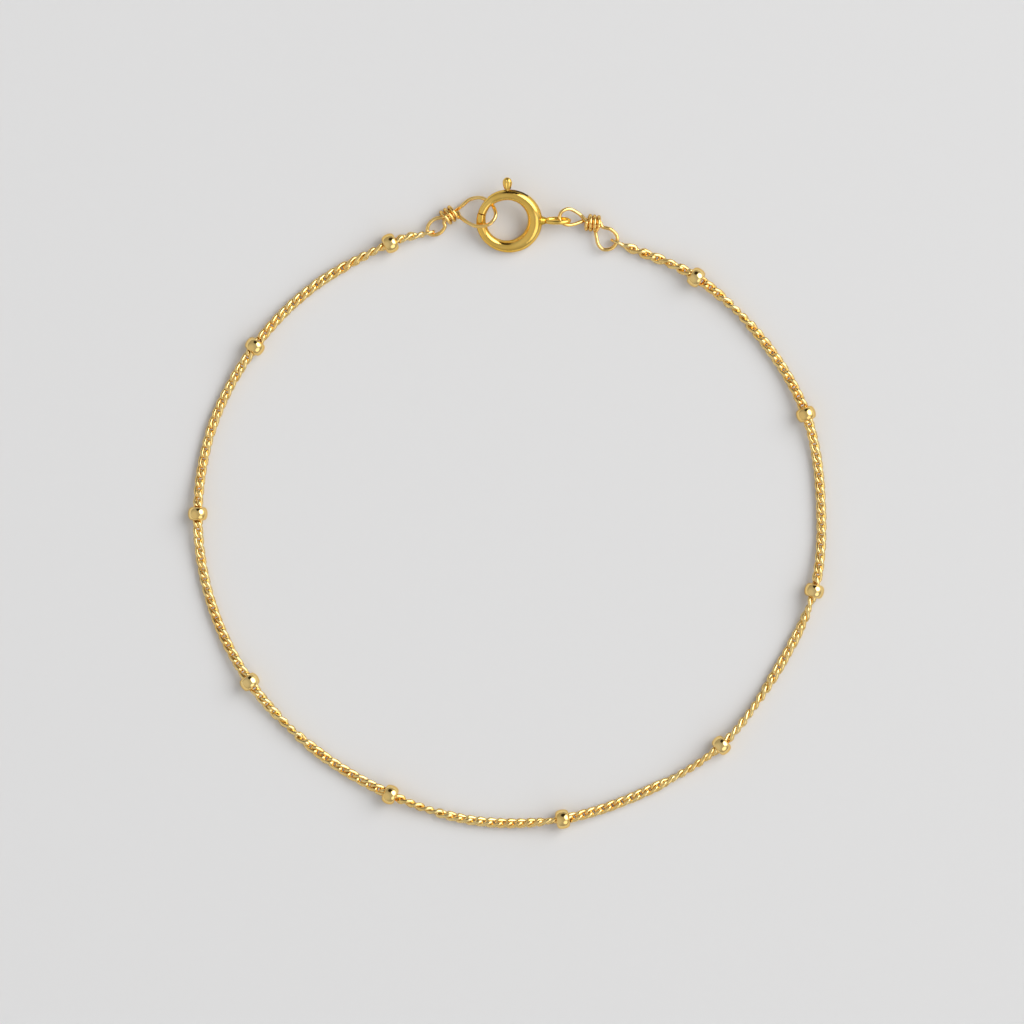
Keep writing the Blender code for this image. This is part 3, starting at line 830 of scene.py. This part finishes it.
LEFT_CLASP_LOOP = [
    (0.13, 0.22),
    (0.31, 0.37),
    (0.53, 0.42),
    (0.70, 0.38),
    (0.86, 0.26),
    (0.94, 0.14),
    (0.97, 0.00),
    (0.93, -0.13),
    (0.81, -0.25),
    (0.63, -0.30),
    (0.44, -0.29),
    (0.24, -0.19),
    (0.07, -0.06),
]
LEFT_CHAIN_LOOP = [
    (0.16, 0.34),
    (0.51, 0.46),
    (0.86, 0.37),
    (1.07, 0.09),
    (0.93, -0.16),
    (0.62, -0.30),
    (0.28, -0.29),
]
RIGHT_CLASP_LOOP = [
    (0.13, -0.12),
    (0.36, -0.27),
    (0.65, -0.37),
    (0.91, -0.25),
    (1.00, 0.02),
    (0.86, 0.20),
    (0.62, 0.26),
    (0.36, 0.20),
    (0.14, 0.10),
]
RIGHT_CHAIN_LOOP = [
    (0.12, 0.12),
    (0.40, 0.31),
    (0.74, 0.36),
    (0.99, 0.18),
    (1.04, -0.15),
    (0.86, -0.43),
    (0.58, -0.46),
    (0.32, -0.34),
    (0.12, -0.22),
]


@dataclass
class WireLoop:
    """A hand-bent loop: points as shares of its length along and across its heading, on a sloping plane."""

    origin: np.ndarray
    heading: float
    length: float
    shares: list[tuple[float, float]]
    climb: float
    roll: float

    def points(self) -> np.ndarray:
        """The loop's points."""
        along, across = np.array(self.shares).T * self.length
        forward, left = direction(self.heading), direction(self.heading + math.pi / 2)
        level = self.origin + along[:, None] * forward + across[:, None] * left
        return level + UP * (along * self.climb + across * self.roll)[:, None]


@dataclass
class WrappedWire:
    """One wire: a coil round its own neck, a loop towards the clasp and a loop towards the chain."""

    side: Side
    coil_middle: np.ndarray
    coil_heading: float
    turns: float
    end_phase: float
    clasp_loop: WireLoop
    chain_loop: WireLoop
    wire_radius: float = 0.213 * MM
    pitch: float = 0.50 * MM
    slack: float = 0.04 * MM
    core_gap: float = 0.05 * MM
    oval: float = 1.16
    turn_steps: int = 16
    sides: int = 18
    step: float = 0.09 * MM
    fine_steps: int = 10
    dome_rings: int = 5
    drawn_share: float = 0.999

    @property
    def coil_radius(self) -> float:
        """From the neck's middle to the middle of the coiled wire."""
        return self.core_gap / 2 + 3 * self.wire_radius + self.slack

    def line(self) -> np.ndarray:
        """The wire's middle from its cut end in the coil to its tucked end in the neck.

        The coil is a helix: the cosine and sine of a phase that grows evenly along the neck, the cosine
        stretched so that the turns lie oval over the neck's two wires. After it come the clasp loop, one pass
        through the coil, the chain loop and a short tail back in the coil.
        """
        forward, side = direction(self.coil_heading), direction(self.coil_heading + math.pi / 2)
        half = self.pitch * self.turns / 2
        turn = np.arange(round(self.turns * self.turn_steps) + 1) / self.turn_steps
        phase = self.end_phase + 2 * np.pi * (turn - self.turns)
        reach = np.cos(phase)[:, None] * side * self.oval + np.sin(phase)[:, None] * UP
        coil = self.coil_middle + (turn * self.pitch - half)[:, None] * forward + reach * self.coil_radius
        core = side * (self.wire_radius + self.core_gap / 2)
        through = self.coil_middle - core + np.array([[half], [-half]]) * forward
        tail = self.coil_middle + core + np.array([[-half], [0.0]]) * forward
        whole = [coil, self.clasp_loop.points(), through, self.chain_loop.points(), tail]
        fine = smooth_through(np.concatenate(whole), self.fine_steps)
        reach = lengths_along(fine)
        return sampled(fine, reach, np.linspace(0, reach[-1], int(reach[-1] / self.step)))

    def build(self, finishes: Finishes) -> list[bpy.types.Object]:
        """Makes the wire, with a small dome at each end."""
        line = self.line()
        radius = self.wire_radius * self.drawn_share
        longer, across, radii = domed_path(line, carried_directions(line), radius, self.dome_rings)
        name = f"wire_link_{self.side.value}"
        tube = swept(longer, across, radii, self.sides, False)
        return [tube.make(f"{name}_wire", "anklet", name, "wire_gold", finishes.wire)]


# Clasp


@dataclass
class ClaspFrame:
    """The clasp's own frame: its ring lies level in it, and it is tipped up at the loop's outer side."""

    centre: np.ndarray = field(default_factory=lambda: np.array([0.11, 33.12, 0.0]) * MM)
    ring_radius: float = 3.16 * MM
    tilt: float = math.radians(18.0)
    plain_tube: float = 0.60 * MM
    swell: float = 0.25 * MM
    swell_angle: float = math.radians(-15.0)
    floor_gap: float = 0.02 * MM
    measured_angles: int = 49

    def tube_radius(self, angle: np.ndarray | float) -> np.ndarray:
        """The tube's radius at an angle: plain by the gate, and fuller beside the tab."""
        return self.plain_tube + self.swell * (0.5 + 0.5 * np.cos(angle - self.swell_angle)) ** 2

    @property
    def height(self) -> float:
        """The height of the ring's centre, with the tube's lowest side just above the surface."""
        angle = np.linspace(0, 2 * np.pi, self.measured_angles)
        low = self.ring_radius * np.sin(angle) * math.sin(self.tilt) - self.tube_radius(angle)
        return self.floor_gap - float(low.min())

    def placed(self, surface: Surface) -> Surface:
        """A surface made in the clasp's frame, tipped about X and moved to its place, faces outward kept."""
        cosine, sine = math.cos(self.tilt), math.sin(self.tilt)
        turn = np.array([[1.0, 0.0, 0.0], [0.0, cosine, -sine], [0.0, sine, cosine]])
        points = surface.points @ turn.T + self.centre + UP * self.height
        return Surface(points, surface.quads, surface.places)

    def around(self, angle: np.ndarray, section: np.ndarray, radius: np.ndarray) -> np.ndarray:
        """Points on a tube round the ring.

        Args:
            angle: The place round the ring, one for each row.
            section: The angle round the tube, out from the ring first, rows by columns.
            radius: The tube's radius, one for each row.

        Returns:
            Rows by columns by 3: the ring's radius plus the tube's along the row's direction, and the
            tube's height.
        """
        out = direction(angle)[:, None, :]
        reach = self.ring_radius + radius[:, None] * np.cos(section)
        return out * reach[..., None] + UP * (radius[:, None] * np.sin(section))[..., None]


@dataclass
class SpringRing:
    """The hollow ring: a tube from the gate's mouth round to its seat, with a slot for the knob's stem."""

    frame: ClaspFrame
    wall: float = 0.10 * MM
    mouth: float = math.radians(130.0)
    seat: float = math.radians(165.0) - 2 * math.pi
    bore_end: float = math.radians(-50.0)
    slot_middle: float = math.radians(91.0)
    slot_half_width: float = 0.32 * MM
    travel: float = math.radians(33.0)
    ring_steps: int = 190
    slot_steps: int = 40
    slot_columns: int = 5
    tube_columns: int = 22
    seat_edge: float = 0.012 * MM
    drawn_in: float = 0.10 * MM
    drawn_length: float = 0.90 * MM
    edge_steps: int = 6
    mouth_steps: int = 20
    lip_steps: int = 9
    bore_steps: int = 40
    seat_shares: tuple[float, ...] = (0.0, 0.5, 0.9)
    end_shares: tuple[float, ...] = (0.8, 0.4, 0.0)

    @property
    def slot_range(self) -> tuple[float, float]:
        """The slot's ends round the ring."""
        margin = self.slot_half_width / self.frame.ring_radius
        return self.slot_middle - self.travel - margin, self.slot_middle + margin

    def outer_radius(self, angle: np.ndarray | float) -> np.ndarray:
        """The tube's outside, drawn in by a bell curve at the seat and by half as much at the mouth."""
        seat_reach = (angle - self.seat) * self.frame.ring_radius / self.drawn_length
        mouth_reach = (self.mouth - angle) * self.frame.ring_radius / self.drawn_length
        bells = np.exp(-(seat_reach**2)) + np.exp(-(mouth_reach**2)) / 2
        return self.frame.tube_radius(angle) - self.drawn_in * bells

    def rows(self) -> tuple[np.ndarray, np.ndarray, np.ndarray]:
        """The rows of the shell's one grid.

        They start at the seat's closed end, run over the outside to the mouth, roll over a half-round lip
        and run back through the bore to its closed end.

        Returns:
            The angle, the tube radius and the share of the bore's column spacing of each row.
        """
        low, high = self.slot_range
        bore = self.frame.plain_tube - self.wall
        seat_radius = float(self.outer_radius(self.seat))
        curl = np.linspace(0, np.pi / 2, self.edge_steps)[:-1]
        edge = self.seat_edge
        seat_radii = np.array(self.seat_shares) * (seat_radius - edge)
        seat_angles = np.full(len(self.seat_shares), self.seat)
        edge_radii = seat_radius - edge + edge * np.sin(curl)
        edge_angles = self.seat + edge * (1 - np.cos(curl)) / self.frame.ring_radius
        start = self.seat + edge / self.frame.ring_radius
        mouth_radius = float(self.outer_radius(self.mouth))
        half = (mouth_radius - bore) / 2
        stop = self.mouth - half / self.frame.ring_radius
        outer = np.concatenate(
            [
                np.linspace(start, low, self.ring_steps, endpoint=False),
                np.linspace(low, high, self.slot_steps)[:-1],
                np.linspace(high, stop, self.mouth_steps, endpoint=False),
            ]
        )
        roll = np.linspace(0, np.pi, self.lip_steps)
        lip_angles = stop + half * np.sin(roll) / self.frame.ring_radius
        lip_radii = bore + half + half * np.cos(roll)
        inner = np.concatenate(
            [
                np.linspace(stop, high, self.mouth_steps)[1:],
                np.linspace(high, low, self.slot_steps)[1:],
                np.linspace(low, self.bore_end, self.bore_steps)[1:],
            ]
        )
        end_radii = bore * np.array(self.end_shares)
        end_angles = np.full(len(end_radii), self.bore_end)
        angles = np.concatenate([seat_angles, edge_angles, outer, lip_angles, inner, end_angles])
        tube, hollow = self.outer_radius(outer), np.full(len(inner), bore)
        radii = np.concatenate([seat_radii, edge_radii, tube, lip_radii, hollow, end_radii])
        before = len(seat_angles) + len(edge_angles) + len(outer)
        after = len(inner) + len(end_radii)
        share = np.concatenate([np.zeros(before), np.linspace(0, 1, len(roll)), np.ones(after)])
        return angles, radii, share

    def columns(self, angles: np.ndarray, share: np.ndarray) -> np.ndarray:
        """The angle round the tube of each column, with a column along each long edge of the slot.

        The slot's half width over the tube's radius is the sine of the edge's angle. Columns are even
        between the two edges, and even again round the rest of the tube.
        """
        outer = np.arcsin(self.slot_half_width / self.outer_radius(angles))
        inner = math.asin(self.slot_half_width / (self.frame.plain_tube - self.wall))
        edge = (outer * (1 - share) + inner * share)[:, None]
        across = np.linspace(-1, 1, self.slot_columns + 1)[None, :]
        rest = np.linspace(0, 1, self.tube_columns + 1)[1:-1][None, :]
        return np.concatenate([edge * across, edge + (2 * np.pi - 2 * edge) * rest], axis=1)

    def shell(self) -> tuple[Surface, Surface]:
        """The tube's outside with its lip, and its bore, with the slot left open in both."""
        angles, radii, share = self.rows()
        section = self.columns(angles, share)
        points = self.frame.around(angles, section, radii)
        run = np.broadcast_to((angles * self.frame.ring_radius / MM)[:, None], section.shape)
        places = np.stack([run, section * radii[:, None] / MM], axis=-1)
        whole = Surface.grid(points, places, False, True)
        low, high = self.slot_range
        between = (angles[:-1] > low - SAME_ANGLE) & (angles[:-1] < high + SAME_ANGLE)
        between &= (angles[1:] > low - SAME_ANGLE) & (angles[1:] < high + SAME_ANGLE)
        across = np.arange(section.shape[1]) < self.slot_columns
        keep = ~(between[:, None] & across[None, :])
        inside = np.broadcast_to((share[:-1] == 1.0)[:, None], keep.shape)
        return whole.chosen((keep & ~inside).ravel()), whole.chosen((keep & inside).ravel())

    def slot_wall(self) -> Surface:
        """The slot's four sides: the outer border of the opening joined to the bore's."""
        low, high = self.slot_range
        long_way = np.linspace(low, high, self.slot_steps)
        short_way = np.linspace(1, -1, self.slot_columns + 1)[1:-1]
        far_end, near_end = np.full(len(short_way), high), np.full(len(short_way), low)
        turn = np.concatenate([long_way, far_end, long_way[::-1], near_end])
        side = np.concatenate([np.ones(len(long_way)), short_way, -np.ones(len(long_way)), -short_way])
        rings = []
        for radius in (self.outer_radius(turn), np.full(len(turn), self.frame.plain_tube - self.wall)):
            section = np.arcsin(self.slot_half_width / radius) * side
            rings.append(self.frame.around(turn, section[:, None], radius)[:, 0, :])
        points = np.stack(rings)
        run = lengths_along(points[0]) / MM
        places = np.stack(np.broadcast_arrays(run[None, :], np.array([[0.0], [self.wall / MM]])), axis=-1)
        return Surface.grid(points, places, False, True)

    def build(self, finishes: Finishes) -> list[bpy.types.Object]:
        """Makes the ring: its polished outside, and its bore with the slot's sides in a rougher finish whose
        dark tone is painted shade.
        """
        parts = [*self.shell(), self.slot_wall()]
        whole = self.frame.placed(Surface.joined([part.flipped() for part in parts]))
        # The bore and the slot's sides take the material whose dark tone is painted shade
        in_painted_shade = np.repeat([False, True, True], [len(part.quads) for part in parts])
        return [
            whole.make(
                "spring_ring", "anklet", "clasp_ring", "clasp_gold", finishes.clasp, finishes.bore, in_painted_shade
            )
        ]


# The solder's outline in millimetres: outwards from the ring's centre, and off the eye's long direction
SOLDER_OUTLINE_MM = [
    (3.66, 0.60),
    (3.78, 0.60),
    (3.90, 0.58),
    (4.00, 0.53),
    (4.08, 0.48),
    (4.16, 0.45),
    (4.26, 0.42),
    (4.38, 0.38),
    (4.48, 0.30),
    (4.55, 0.20),
    (4.585, 0.09),
    (4.59, 0.0),
]


@dataclass
class TabEye:
    """The oval wire eye that stands on edge beside the ring, and the solder that holds it."""

    frame: ClaspFrame
    wire_radius: float = 0.26 * MM
    length: float = 3.22 * MM
    height: float = 1.96 * MM
    ring_gap: float = 0.14 * MM
    steps: int = 96
    sides: int = 22
    outline_steps: int = 4
    solder_sides: int = 40

    @property
    def middle(self) -> np.ndarray:
        """The eye's middle in the clasp's frame."""
        reach = self.frame.ring_radius + float(self.frame.tube_radius(0.0)) + self.ring_gap + self.length / 2
        return np.array([reach, 0.0, 0.0])

    def eye(self) -> Surface:
        """A closed tube round an upright oval."""
        angle = np.linspace(0, 2 * np.pi, self.steps, endpoint=False)[:, None]
        half_length, half_height = self.length / 2 - self.wire_radius, self.height / 2 - self.wire_radius
        ahead = np.array([1.0, 0.0, 0.0])
        line = self.middle + ahead * half_length * np.cos(angle) + UP * half_height * np.sin(angle)
        normal = np.tile(np.array([0.0, 1.0, 0.0]), (self.steps, 1))
        return swept(line, normal, self.wire_radius, self.sides, True)

    def solder(self) -> Surface:
        """A blob turned about the eye's long direction: flared onto the ring, closed over the eye's wire."""
        profile = np.array(SOLDER_OUTLINE_MM) * MM
        outline = smooth_through(profile, self.outline_steps)
        outline = np.concatenate([[[profile[0, 0], 0.0]], outline])
        ahead = np.array([1.0, 0.0, 0.0])
        return turned_solid(ahead, np.zeros(3), outline[:, 0], outline[:, 1], self.solder_sides)

    def build(self, finishes: Finishes) -> list[bpy.types.Object]:
        """Makes the eye and its solder."""
        eye = self.frame.placed(self.eye())
        solder = self.frame.placed(self.solder())
        return [
            eye.make("tab_eye", "anklet", "clasp_ring", "clasp_gold", finishes.clasp),
            solder.make("tab_solder", "anklet", "clasp_ring", "clasp_gold", finishes.solder),
        ]


@dataclass
class ThumbBolt:
    """The curved tongue that closes the gate, with its stem and its thumb knob."""

    frame: ClaspFrame
    radius: float = 0.485 * MM
    seat: float = math.radians(165.0)
    seat_gap: float = 0.03 * MM
    tail: float = math.radians(74.0)
    end_roundness: float = 0.35
    knob_angle: float = math.radians(91.0)
    knob_gap: float = 0.02 * MM
    knob_width: float = 1.10 * MM
    knob_length: float = 1.46 * MM
    knob_depth: float = 0.90 * MM
    stem_radius: float = 0.24 * MM
    groove_depth: float = 0.07 * MM
    groove_width: float = 0.11 * MM
    curl_steps: int = 9
    arc_steps: int = 60
    tongue_sides: int = 26
    stem_foot: float = 0.7
    stem_overlap: float = 0.2 * MM
    stem_sides: int = 24
    foot_share: float = 0.66
    foot_growth: float = 0.34
    foot_length: float = 0.62
    head_start: float = 0.55
    head_length: float = 0.45
    closing_length: float = 0.05
    knob_rows: int = 40
    knob_sides: int = 48
    tongue_map: tuple[float, float] = (3.16, 0.42)
    knob_map: tuple[float, float] = (1.56, 0.5)

    def tongue(self) -> Surface:
        """A tube round the ring's circle whose two ends are rounded off as flat quarter ovals."""
        curl = np.linspace(0, np.pi / 2, self.curl_steps)
        shift = self.radius * self.end_roundness / self.frame.ring_radius
        tail = self.tail + shift * (1 - np.sin(curl))
        tip = self.seat - self.seat_gap / self.frame.ring_radius - shift * (1 - np.sin(curl[::-1]))
        between = np.linspace(tail[0], tip[0], self.arc_steps)[1:-1]
        angles = np.sort(np.concatenate([tail[::-1], between, tip[::-1]]))
        radii = np.full(len(angles), self.radius)
        radii[: len(curl)] = self.radius * np.sin(curl)
        radii[-len(curl) :] = self.radius * np.cos(curl)
        turn = np.linspace(0, 2 * np.pi, self.tongue_sides, endpoint=False)
        section = np.tile(turn, (len(angles), 1))
        points = self.frame.around(angles, section, radii)
        run = np.broadcast_to(angles[:, None], section.shape) * self.tongue_map[0]
        places = np.stack([run, section * self.tongue_map[1]], axis=-1)
        return Surface.grid(points, places, False, True).flipped()

    @property
    def knob_base(self) -> float:
        """The reach of the knob's foot, just off the ring's outside."""
        return self.frame.ring_radius + float(self.frame.tube_radius(self.knob_angle)) + self.knob_gap

    def stem(self) -> Surface:
        """A short round pin from the tongue into the knob."""
        out = direction(self.knob_angle)
        foot = self.frame.ring_radius + self.radius * self.stem_foot
        top = self.knob_base + self.stem_overlap
        reach = np.array([0.0, self.stem_radius, self.stem_radius, 0.0])
        return turned_solid(out, np.zeros(3), np.array([foot, foot, top, top]), reach, self.stem_sides)

    def knob(self) -> Surface:
        """A flattened lug, narrow at its foot and widest past its middle, with a shallow groove down its top.

        Its half width follows the height over the foot: a quarter sine that rises from two thirds to the
        whole, times a quarter circle that closes the head. The groove is a bell curve across the width,
        taken from the upper side only.
        """
        out = direction(self.knob_angle)
        aside = np.cross(UP, out)
        rise = 0.5 - 0.5 * np.cos(np.linspace(0, np.pi, self.knob_rows))
        grown = np.sin(np.minimum(rise / self.foot_length, 1.0) * np.pi / 2)
        foot = self.foot_share + self.foot_growth * grown
        past = np.maximum(rise - self.head_start, 0.0) / self.head_length
        head = np.sqrt(np.maximum(1 - past**2, 0.0))
        closed = np.minimum(np.sqrt(np.clip(rise / self.closing_length, 0.0, 1.0)), 1.0)
        girth = (foot * head * closed)[:, None]
        angle = np.linspace(0, 2 * np.pi, self.knob_sides, endpoint=False)[None, :]
        across = girth * self.knob_width / 2 * np.cos(angle)
        through = girth * self.knob_depth / 2 * np.sin(angle)
        upper = np.clip(np.sin(angle), 0.0, 1.0) * girth
        through = through - self.groove_depth * upper * np.exp(-((across / self.groove_width) ** 2))
        reach = self.knob_base + rise[:, None] * self.knob_length
        points = out * reach[..., None] * np.ones_like(across)[..., None]
        points = points + aside * across[..., None] + UP * through[..., None]
        run, round_run = rise[:, None] * self.knob_map[0], angle * self.knob_map[1]
        places = np.stack(np.broadcast_arrays(run, round_run), axis=-1)
        return Surface.grid(points, places, False, True)

    def build(self, finishes: Finishes) -> list[bpy.types.Object]:
        """Makes the bolt as one piece."""
        whole = Surface.joined([self.tongue(), self.stem(), self.knob()])
        placed = self.frame.placed(whole)
        return [placed.make("thumb_bolt", "bolt", "clasp_bolt", "clasp_gold", finishes.clasp)]


# The whole anklet


@dataclass
class Anklet:
    """Every part of the anklet, placed from the clasp outwards."""

    clasp: ClaspFrame = field(default_factory=ClaspFrame)
    wire_radius: float = 0.205 * MM
    link_gap: float = 0.26 * MM
    neck_height: float = 0.945 * MM
    bead_height: float = 1.1475 * MM
    end_link_height: float = 0.745 * MM

    def ring_face(self, spot: np.ndarray, side: int) -> float:
        """The height of the tipped tube over this spot: its top for side 1 and its underside for -1."""
        slope = math.tan(self.clasp.tilt)
        rise = (spot[1] - self.clasp.centre[1]) * slope
        return self.clasp.height + rise + side * self.clasp.plain_tube / math.cos(self.clasp.tilt)

    def left_wire(self) -> WrappedWire:
        """The wire that hooks through the ring: its loop passes under the tube and comes back over it."""
        length, heading = 4.66 * MM, math.radians(-0.4)
        centre, hook = self.clasp.centre, 1.86 * MM
        far = centre[0] - self.clasp.ring_radius + hook
        origin = np.array([far - length, centre[1] + 0.76 * MM, self.neck_height])
        shares = ((0.76, 0.35, -1), (0.61, -0.30, 1))
        wanted = []
        for along, across, side in shares:
            spot = WireLoop(origin, heading, length, [(along, across)], 0.0, 0.0).points()[0]
            lift = side * (self.wire_radius + self.link_gap)
            wanted.append((self.ring_face(spot, side) + lift - origin[2]) / length)
        weights = np.array([[along, across] for along, across, _ in shares])
        climb, roll = np.linalg.solve(weights, np.array(wanted))
        middle = origin + np.array([-0.85, -0.08, 0.0]) * MM
        return WrappedWire(
            side=Side.LEFT,
            coil_middle=middle,
            coil_heading=math.radians(33.0),
            turns=3.0,
            pitch=0.56 * MM,
            end_phase=-math.pi / 2,
            clasp_loop=WireLoop(origin, heading, length, LEFT_CLASP_LOOP, climb, roll),
            chain_loop=self.chain_loop(
                middle, (-0.72, -0.57), math.radians(-144.5), 2.21 * MM, LEFT_CHAIN_LOOP
            ),
        )

    def right_wire(self) -> WrappedWire:
        """The wire that hooks through the tab's eye."""
        length, heading = 2.98 * MM, math.radians(176.4)
        tab = TabEye(self.clasp)
        depth = tab.length / 2 - 2 * tab.wire_radius - 0.84 * MM
        far = self.clasp.centre + tab.middle + np.array([depth, 0.34 * MM, 0.0])
        origin = far - direction(heading) * length
        origin[2] = self.neck_height
        climb = (self.clasp.height - self.neck_height) / length
        middle = origin + np.array([0.92, -0.42, 0.0]) * MM
        return WrappedWire(
            side=Side.RIGHT,
            coil_middle=middle,
            coil_heading=math.radians(172.0),
            turns=3.0,
            end_phase=math.pi / 2,
            clasp_loop=WireLoop(origin, heading, length, RIGHT_CLASP_LOOP, climb, 0.0),
            chain_loop=self.chain_loop(
                middle, (0.64, -0.39), math.radians(-50.8), 2.87 * MM, RIGHT_CHAIN_LOOP
            ),
        )

    def chain_loop(
        self,
        middle: np.ndarray,
        offset_mm: tuple[float, float],
        heading: float,
        length: float,
        shares: list[tuple[float, float]],
    ) -> WireLoop:
        """The loop that holds an end link, sinking from the neck's height to the link's."""
        origin = middle + np.array([*offset_mm, 0.0]) * MM
        climb = (self.end_link_height - self.neck_height) / length
        return WireLoop(origin, heading, length, shares, climb, 0.0)

    def parts(self) -> list[object]:
        """All the parts, each with a build method, in the order that they are put together."""
        left, right = self.left_wire(), self.right_wire()
        route = np.array([(x, y, 0.0) for x, y in CHAIN_ROUTE_MM]) * MM
        left_end = EndLink(Side.LEFT, left.chain_loop.points()[LOOP_TIP], route[-1], self.wire_radius)
        right_end = EndLink(Side.RIGHT, right.chain_loop.points()[LOOP_TIP], route[0], self.wire_radius)
        path = ChainPath(right_end.chain_start(), left_end.chain_start(), self.bead_height)
        beads = [Bead(number, place) for number, place in enumerate(path.beads, start=1)]
        clasp = [SpringRing(self.clasp), TabEye(self.clasp), ThumbBolt(self.clasp)]
        return [CurbChain(path.points), left_end, right_end, *beads, left, right, *clasp]


# Stage


# The room's soft patches: name, direction, the cosines where each starts and where it is full, and colour
ROOM_PATCHES = (
    ("bright_side", (0.78, 0.34, 0.53), 0.76, 0.95, (0.95, 0.945, 0.93)),
    ("far_wall", (0.52, -0.60, 0.62), 0.90, 0.97, (1.35, 1.34, 1.32)),
    ("near_wall", (-0.72, -0.35, 0.60), 0.55, 0.95, (0.60, 0.595, 0.59)),
    ("shade", (0.08, 0.74, 0.66), 0.89, 0.96, (0.03, 0.025, 0.02)),
    ("window", (0.65, 0.33, 0.68), 0.90, 0.935, (3.2, 3.17, 3.1)),
)


@dataclass(frozen=True)
class Studio:
    """A pale sheet, one soft window-like lamp and a camera straight above."""

    floor_tone: tuple[float, float, float] = (0.78, 0.783, 0.792)
    camera_height: float = 2.0
    frame_width: float = 0.1198
    aim: tuple[float, float] = (0.00058, -0.00094)
    lamp_place: tuple[float, float, float] = (0.42, 0.21, 0.44)
    lamp_size: float = 0.56
    lamp_power: float = 0.8
    lamp_tone: tuple[float, float, float] = (1.0, 0.99, 0.975)
    sheet_half: float = 1.5
    low_tone: tuple[float, float, float] = (0.38, 0.38, 0.385)
    high_tone: tuple[float, float, float] = (0.45, 0.45, 0.455)

    def floor(self) -> None:
        """Lays the pale sheet."""
        sheet = bpy.data.materials.new("pale_sheet")
        sheet.use_nodes = True
        shader = sheet.node_tree.nodes["Principled BSDF"]
        shader.inputs["Base Color"].default_value = (*self.floor_tone, 1.0)
        shader.inputs["Roughness"].default_value = 0.75
        shader.inputs["Specular IOR Level"].default_value = 0.2
        mesh = bpy.data.meshes.new("floor")
        half = self.sheet_half
        corners = [(-half, -half, 0.0), (half, -half, 0.0), (half, half, 0.0), (-half, half, 0.0)]
        mesh.from_pydata(corners, [], [(0, 1, 2, 3)])
        mesh.materials.append(sheet)
        floor = bpy.data.objects.new("floor", mesh)
        bpy.context.collection.objects.link(floor)
        floor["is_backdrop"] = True

    def lamp(self) -> None:
        """Hangs the soft lamp up on the right."""
        light = bpy.data.lights.new("window_light", "AREA")
        light.shape = "SQUARE"
        light.size = self.lamp_size
        light.energy = self.lamp_power
        light.color = self.lamp_tone
        lamp = bpy.data.objects.new("window_light", light)
        lamp.location = self.lamp_place
        lamp.rotation_euler = (-Vector(self.lamp_place)).to_track_quat("-Z", "Y").to_euler()
        bpy.context.collection.objects.link(lamp)
        lamp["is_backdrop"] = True

    def room(self) -> None:
        """Surrounds the stage with soft light: bright towards the window, dim beyond the clasp."""
        world = bpy.data.worlds.new("soft_room")
        world.use_nodes = True
        bpy.context.scene.world = world
        tree = world.node_tree
        background = tree.nodes["Background"]
        place = tree.nodes.new("ShaderNodeTexCoord")
        height = tree.nodes.new("ShaderNodeSeparateXYZ")
        rise = tree.nodes.new("ShaderNodeMapRange")
        rise.interpolation_type = "SMOOTHSTEP"
        rise.inputs["From Min"].default_value = 0.35
        rise.inputs["From Max"].default_value = 0.97
        base = tree.nodes.new("ShaderNodeMix")
        base.data_type = "RGBA"
        base.inputs["A"].default_value = (*self.low_tone, 1.0)
        base.inputs["B"].default_value = (*self.high_tone, 1.0)
        tree.links.new(place.outputs["Generated"], height.inputs["Vector"])
        tree.links.new(height.outputs["Z"], rise.inputs["Value"])
        tree.links.new(rise.outputs["Result"], base.inputs["Factor"])
        previous = base
        for name, aim, outer, inner, tone in ROOM_PATCHES:
            facing = tree.nodes.new("ShaderNodeVectorMath")
            facing.operation = "DOT_PRODUCT"
            facing.inputs[1].default_value = Vector(aim).normalized()
            edge = tree.nodes.new("ShaderNodeMapRange")
            edge.interpolation_type = "SMOOTHSTEP"
            edge.inputs["From Min"].default_value = outer
            edge.inputs["From Max"].default_value = inner
            mix = tree.nodes.new("ShaderNodeMix")
            mix.name = name
            mix.data_type = "RGBA"
            mix.inputs["B"].default_value = (*tone, 1.0)
            tree.links.new(place.outputs["Generated"], facing.inputs[0])
            tree.links.new(facing.outputs["Value"], edge.inputs["Value"])
            tree.links.new(edge.outputs["Result"], mix.inputs["Factor"])
            tree.links.new(previous.outputs["Result"], mix.inputs["A"])
            previous = mix
        tree.links.new(previous.outputs["Result"], background.inputs["Color"])

    def camera(self) -> None:
        """Hangs the camera straight over the anklet, framed to the photographed width."""
        eye = bpy.data.cameras.new("camera")
        eye.lens = eye.sensor_width * self.camera_height / self.frame_width
        eye.clip_start = 0.01
        eye.clip_end = 10.0
        eye.dof.use_dof = False
        camera = bpy.data.objects.new("camera", eye)
        camera.location = (*self.aim, self.camera_height)
        bpy.context.collection.objects.link(camera)
        bpy.context.scene.camera = camera

    def build(self) -> None:
        """Sets the stage, and the plain view transform."""
        self.floor()
        self.lamp()
        self.room()
        self.camera()
        bpy.context.scene.view_settings.view_transform = "Standard"


def corners() -> list[list[float]]:
    """The shown object's lowest and highest corner as plain lists."""
    return [[float(value) for value in corner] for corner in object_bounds()]


def main() -> None:
    """Builds the anklet's parts in order, reports each, and sets the stage."""
    logging.basicConfig(level=logging.INFO, format="%(message)s")
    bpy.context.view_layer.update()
    finishes = Finishes.mixed()
    count = 0
    for part in Anklet().parts():
        made = part.build(finishes)
        count += len(made)
        LOG.info("%s: %s", type(part).__name__, ", ".join(piece.name for piece in made))
    Studio().build()
    LOG.info("%d pieces", count)


if __name__ == "__main__":
    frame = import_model()
    main()
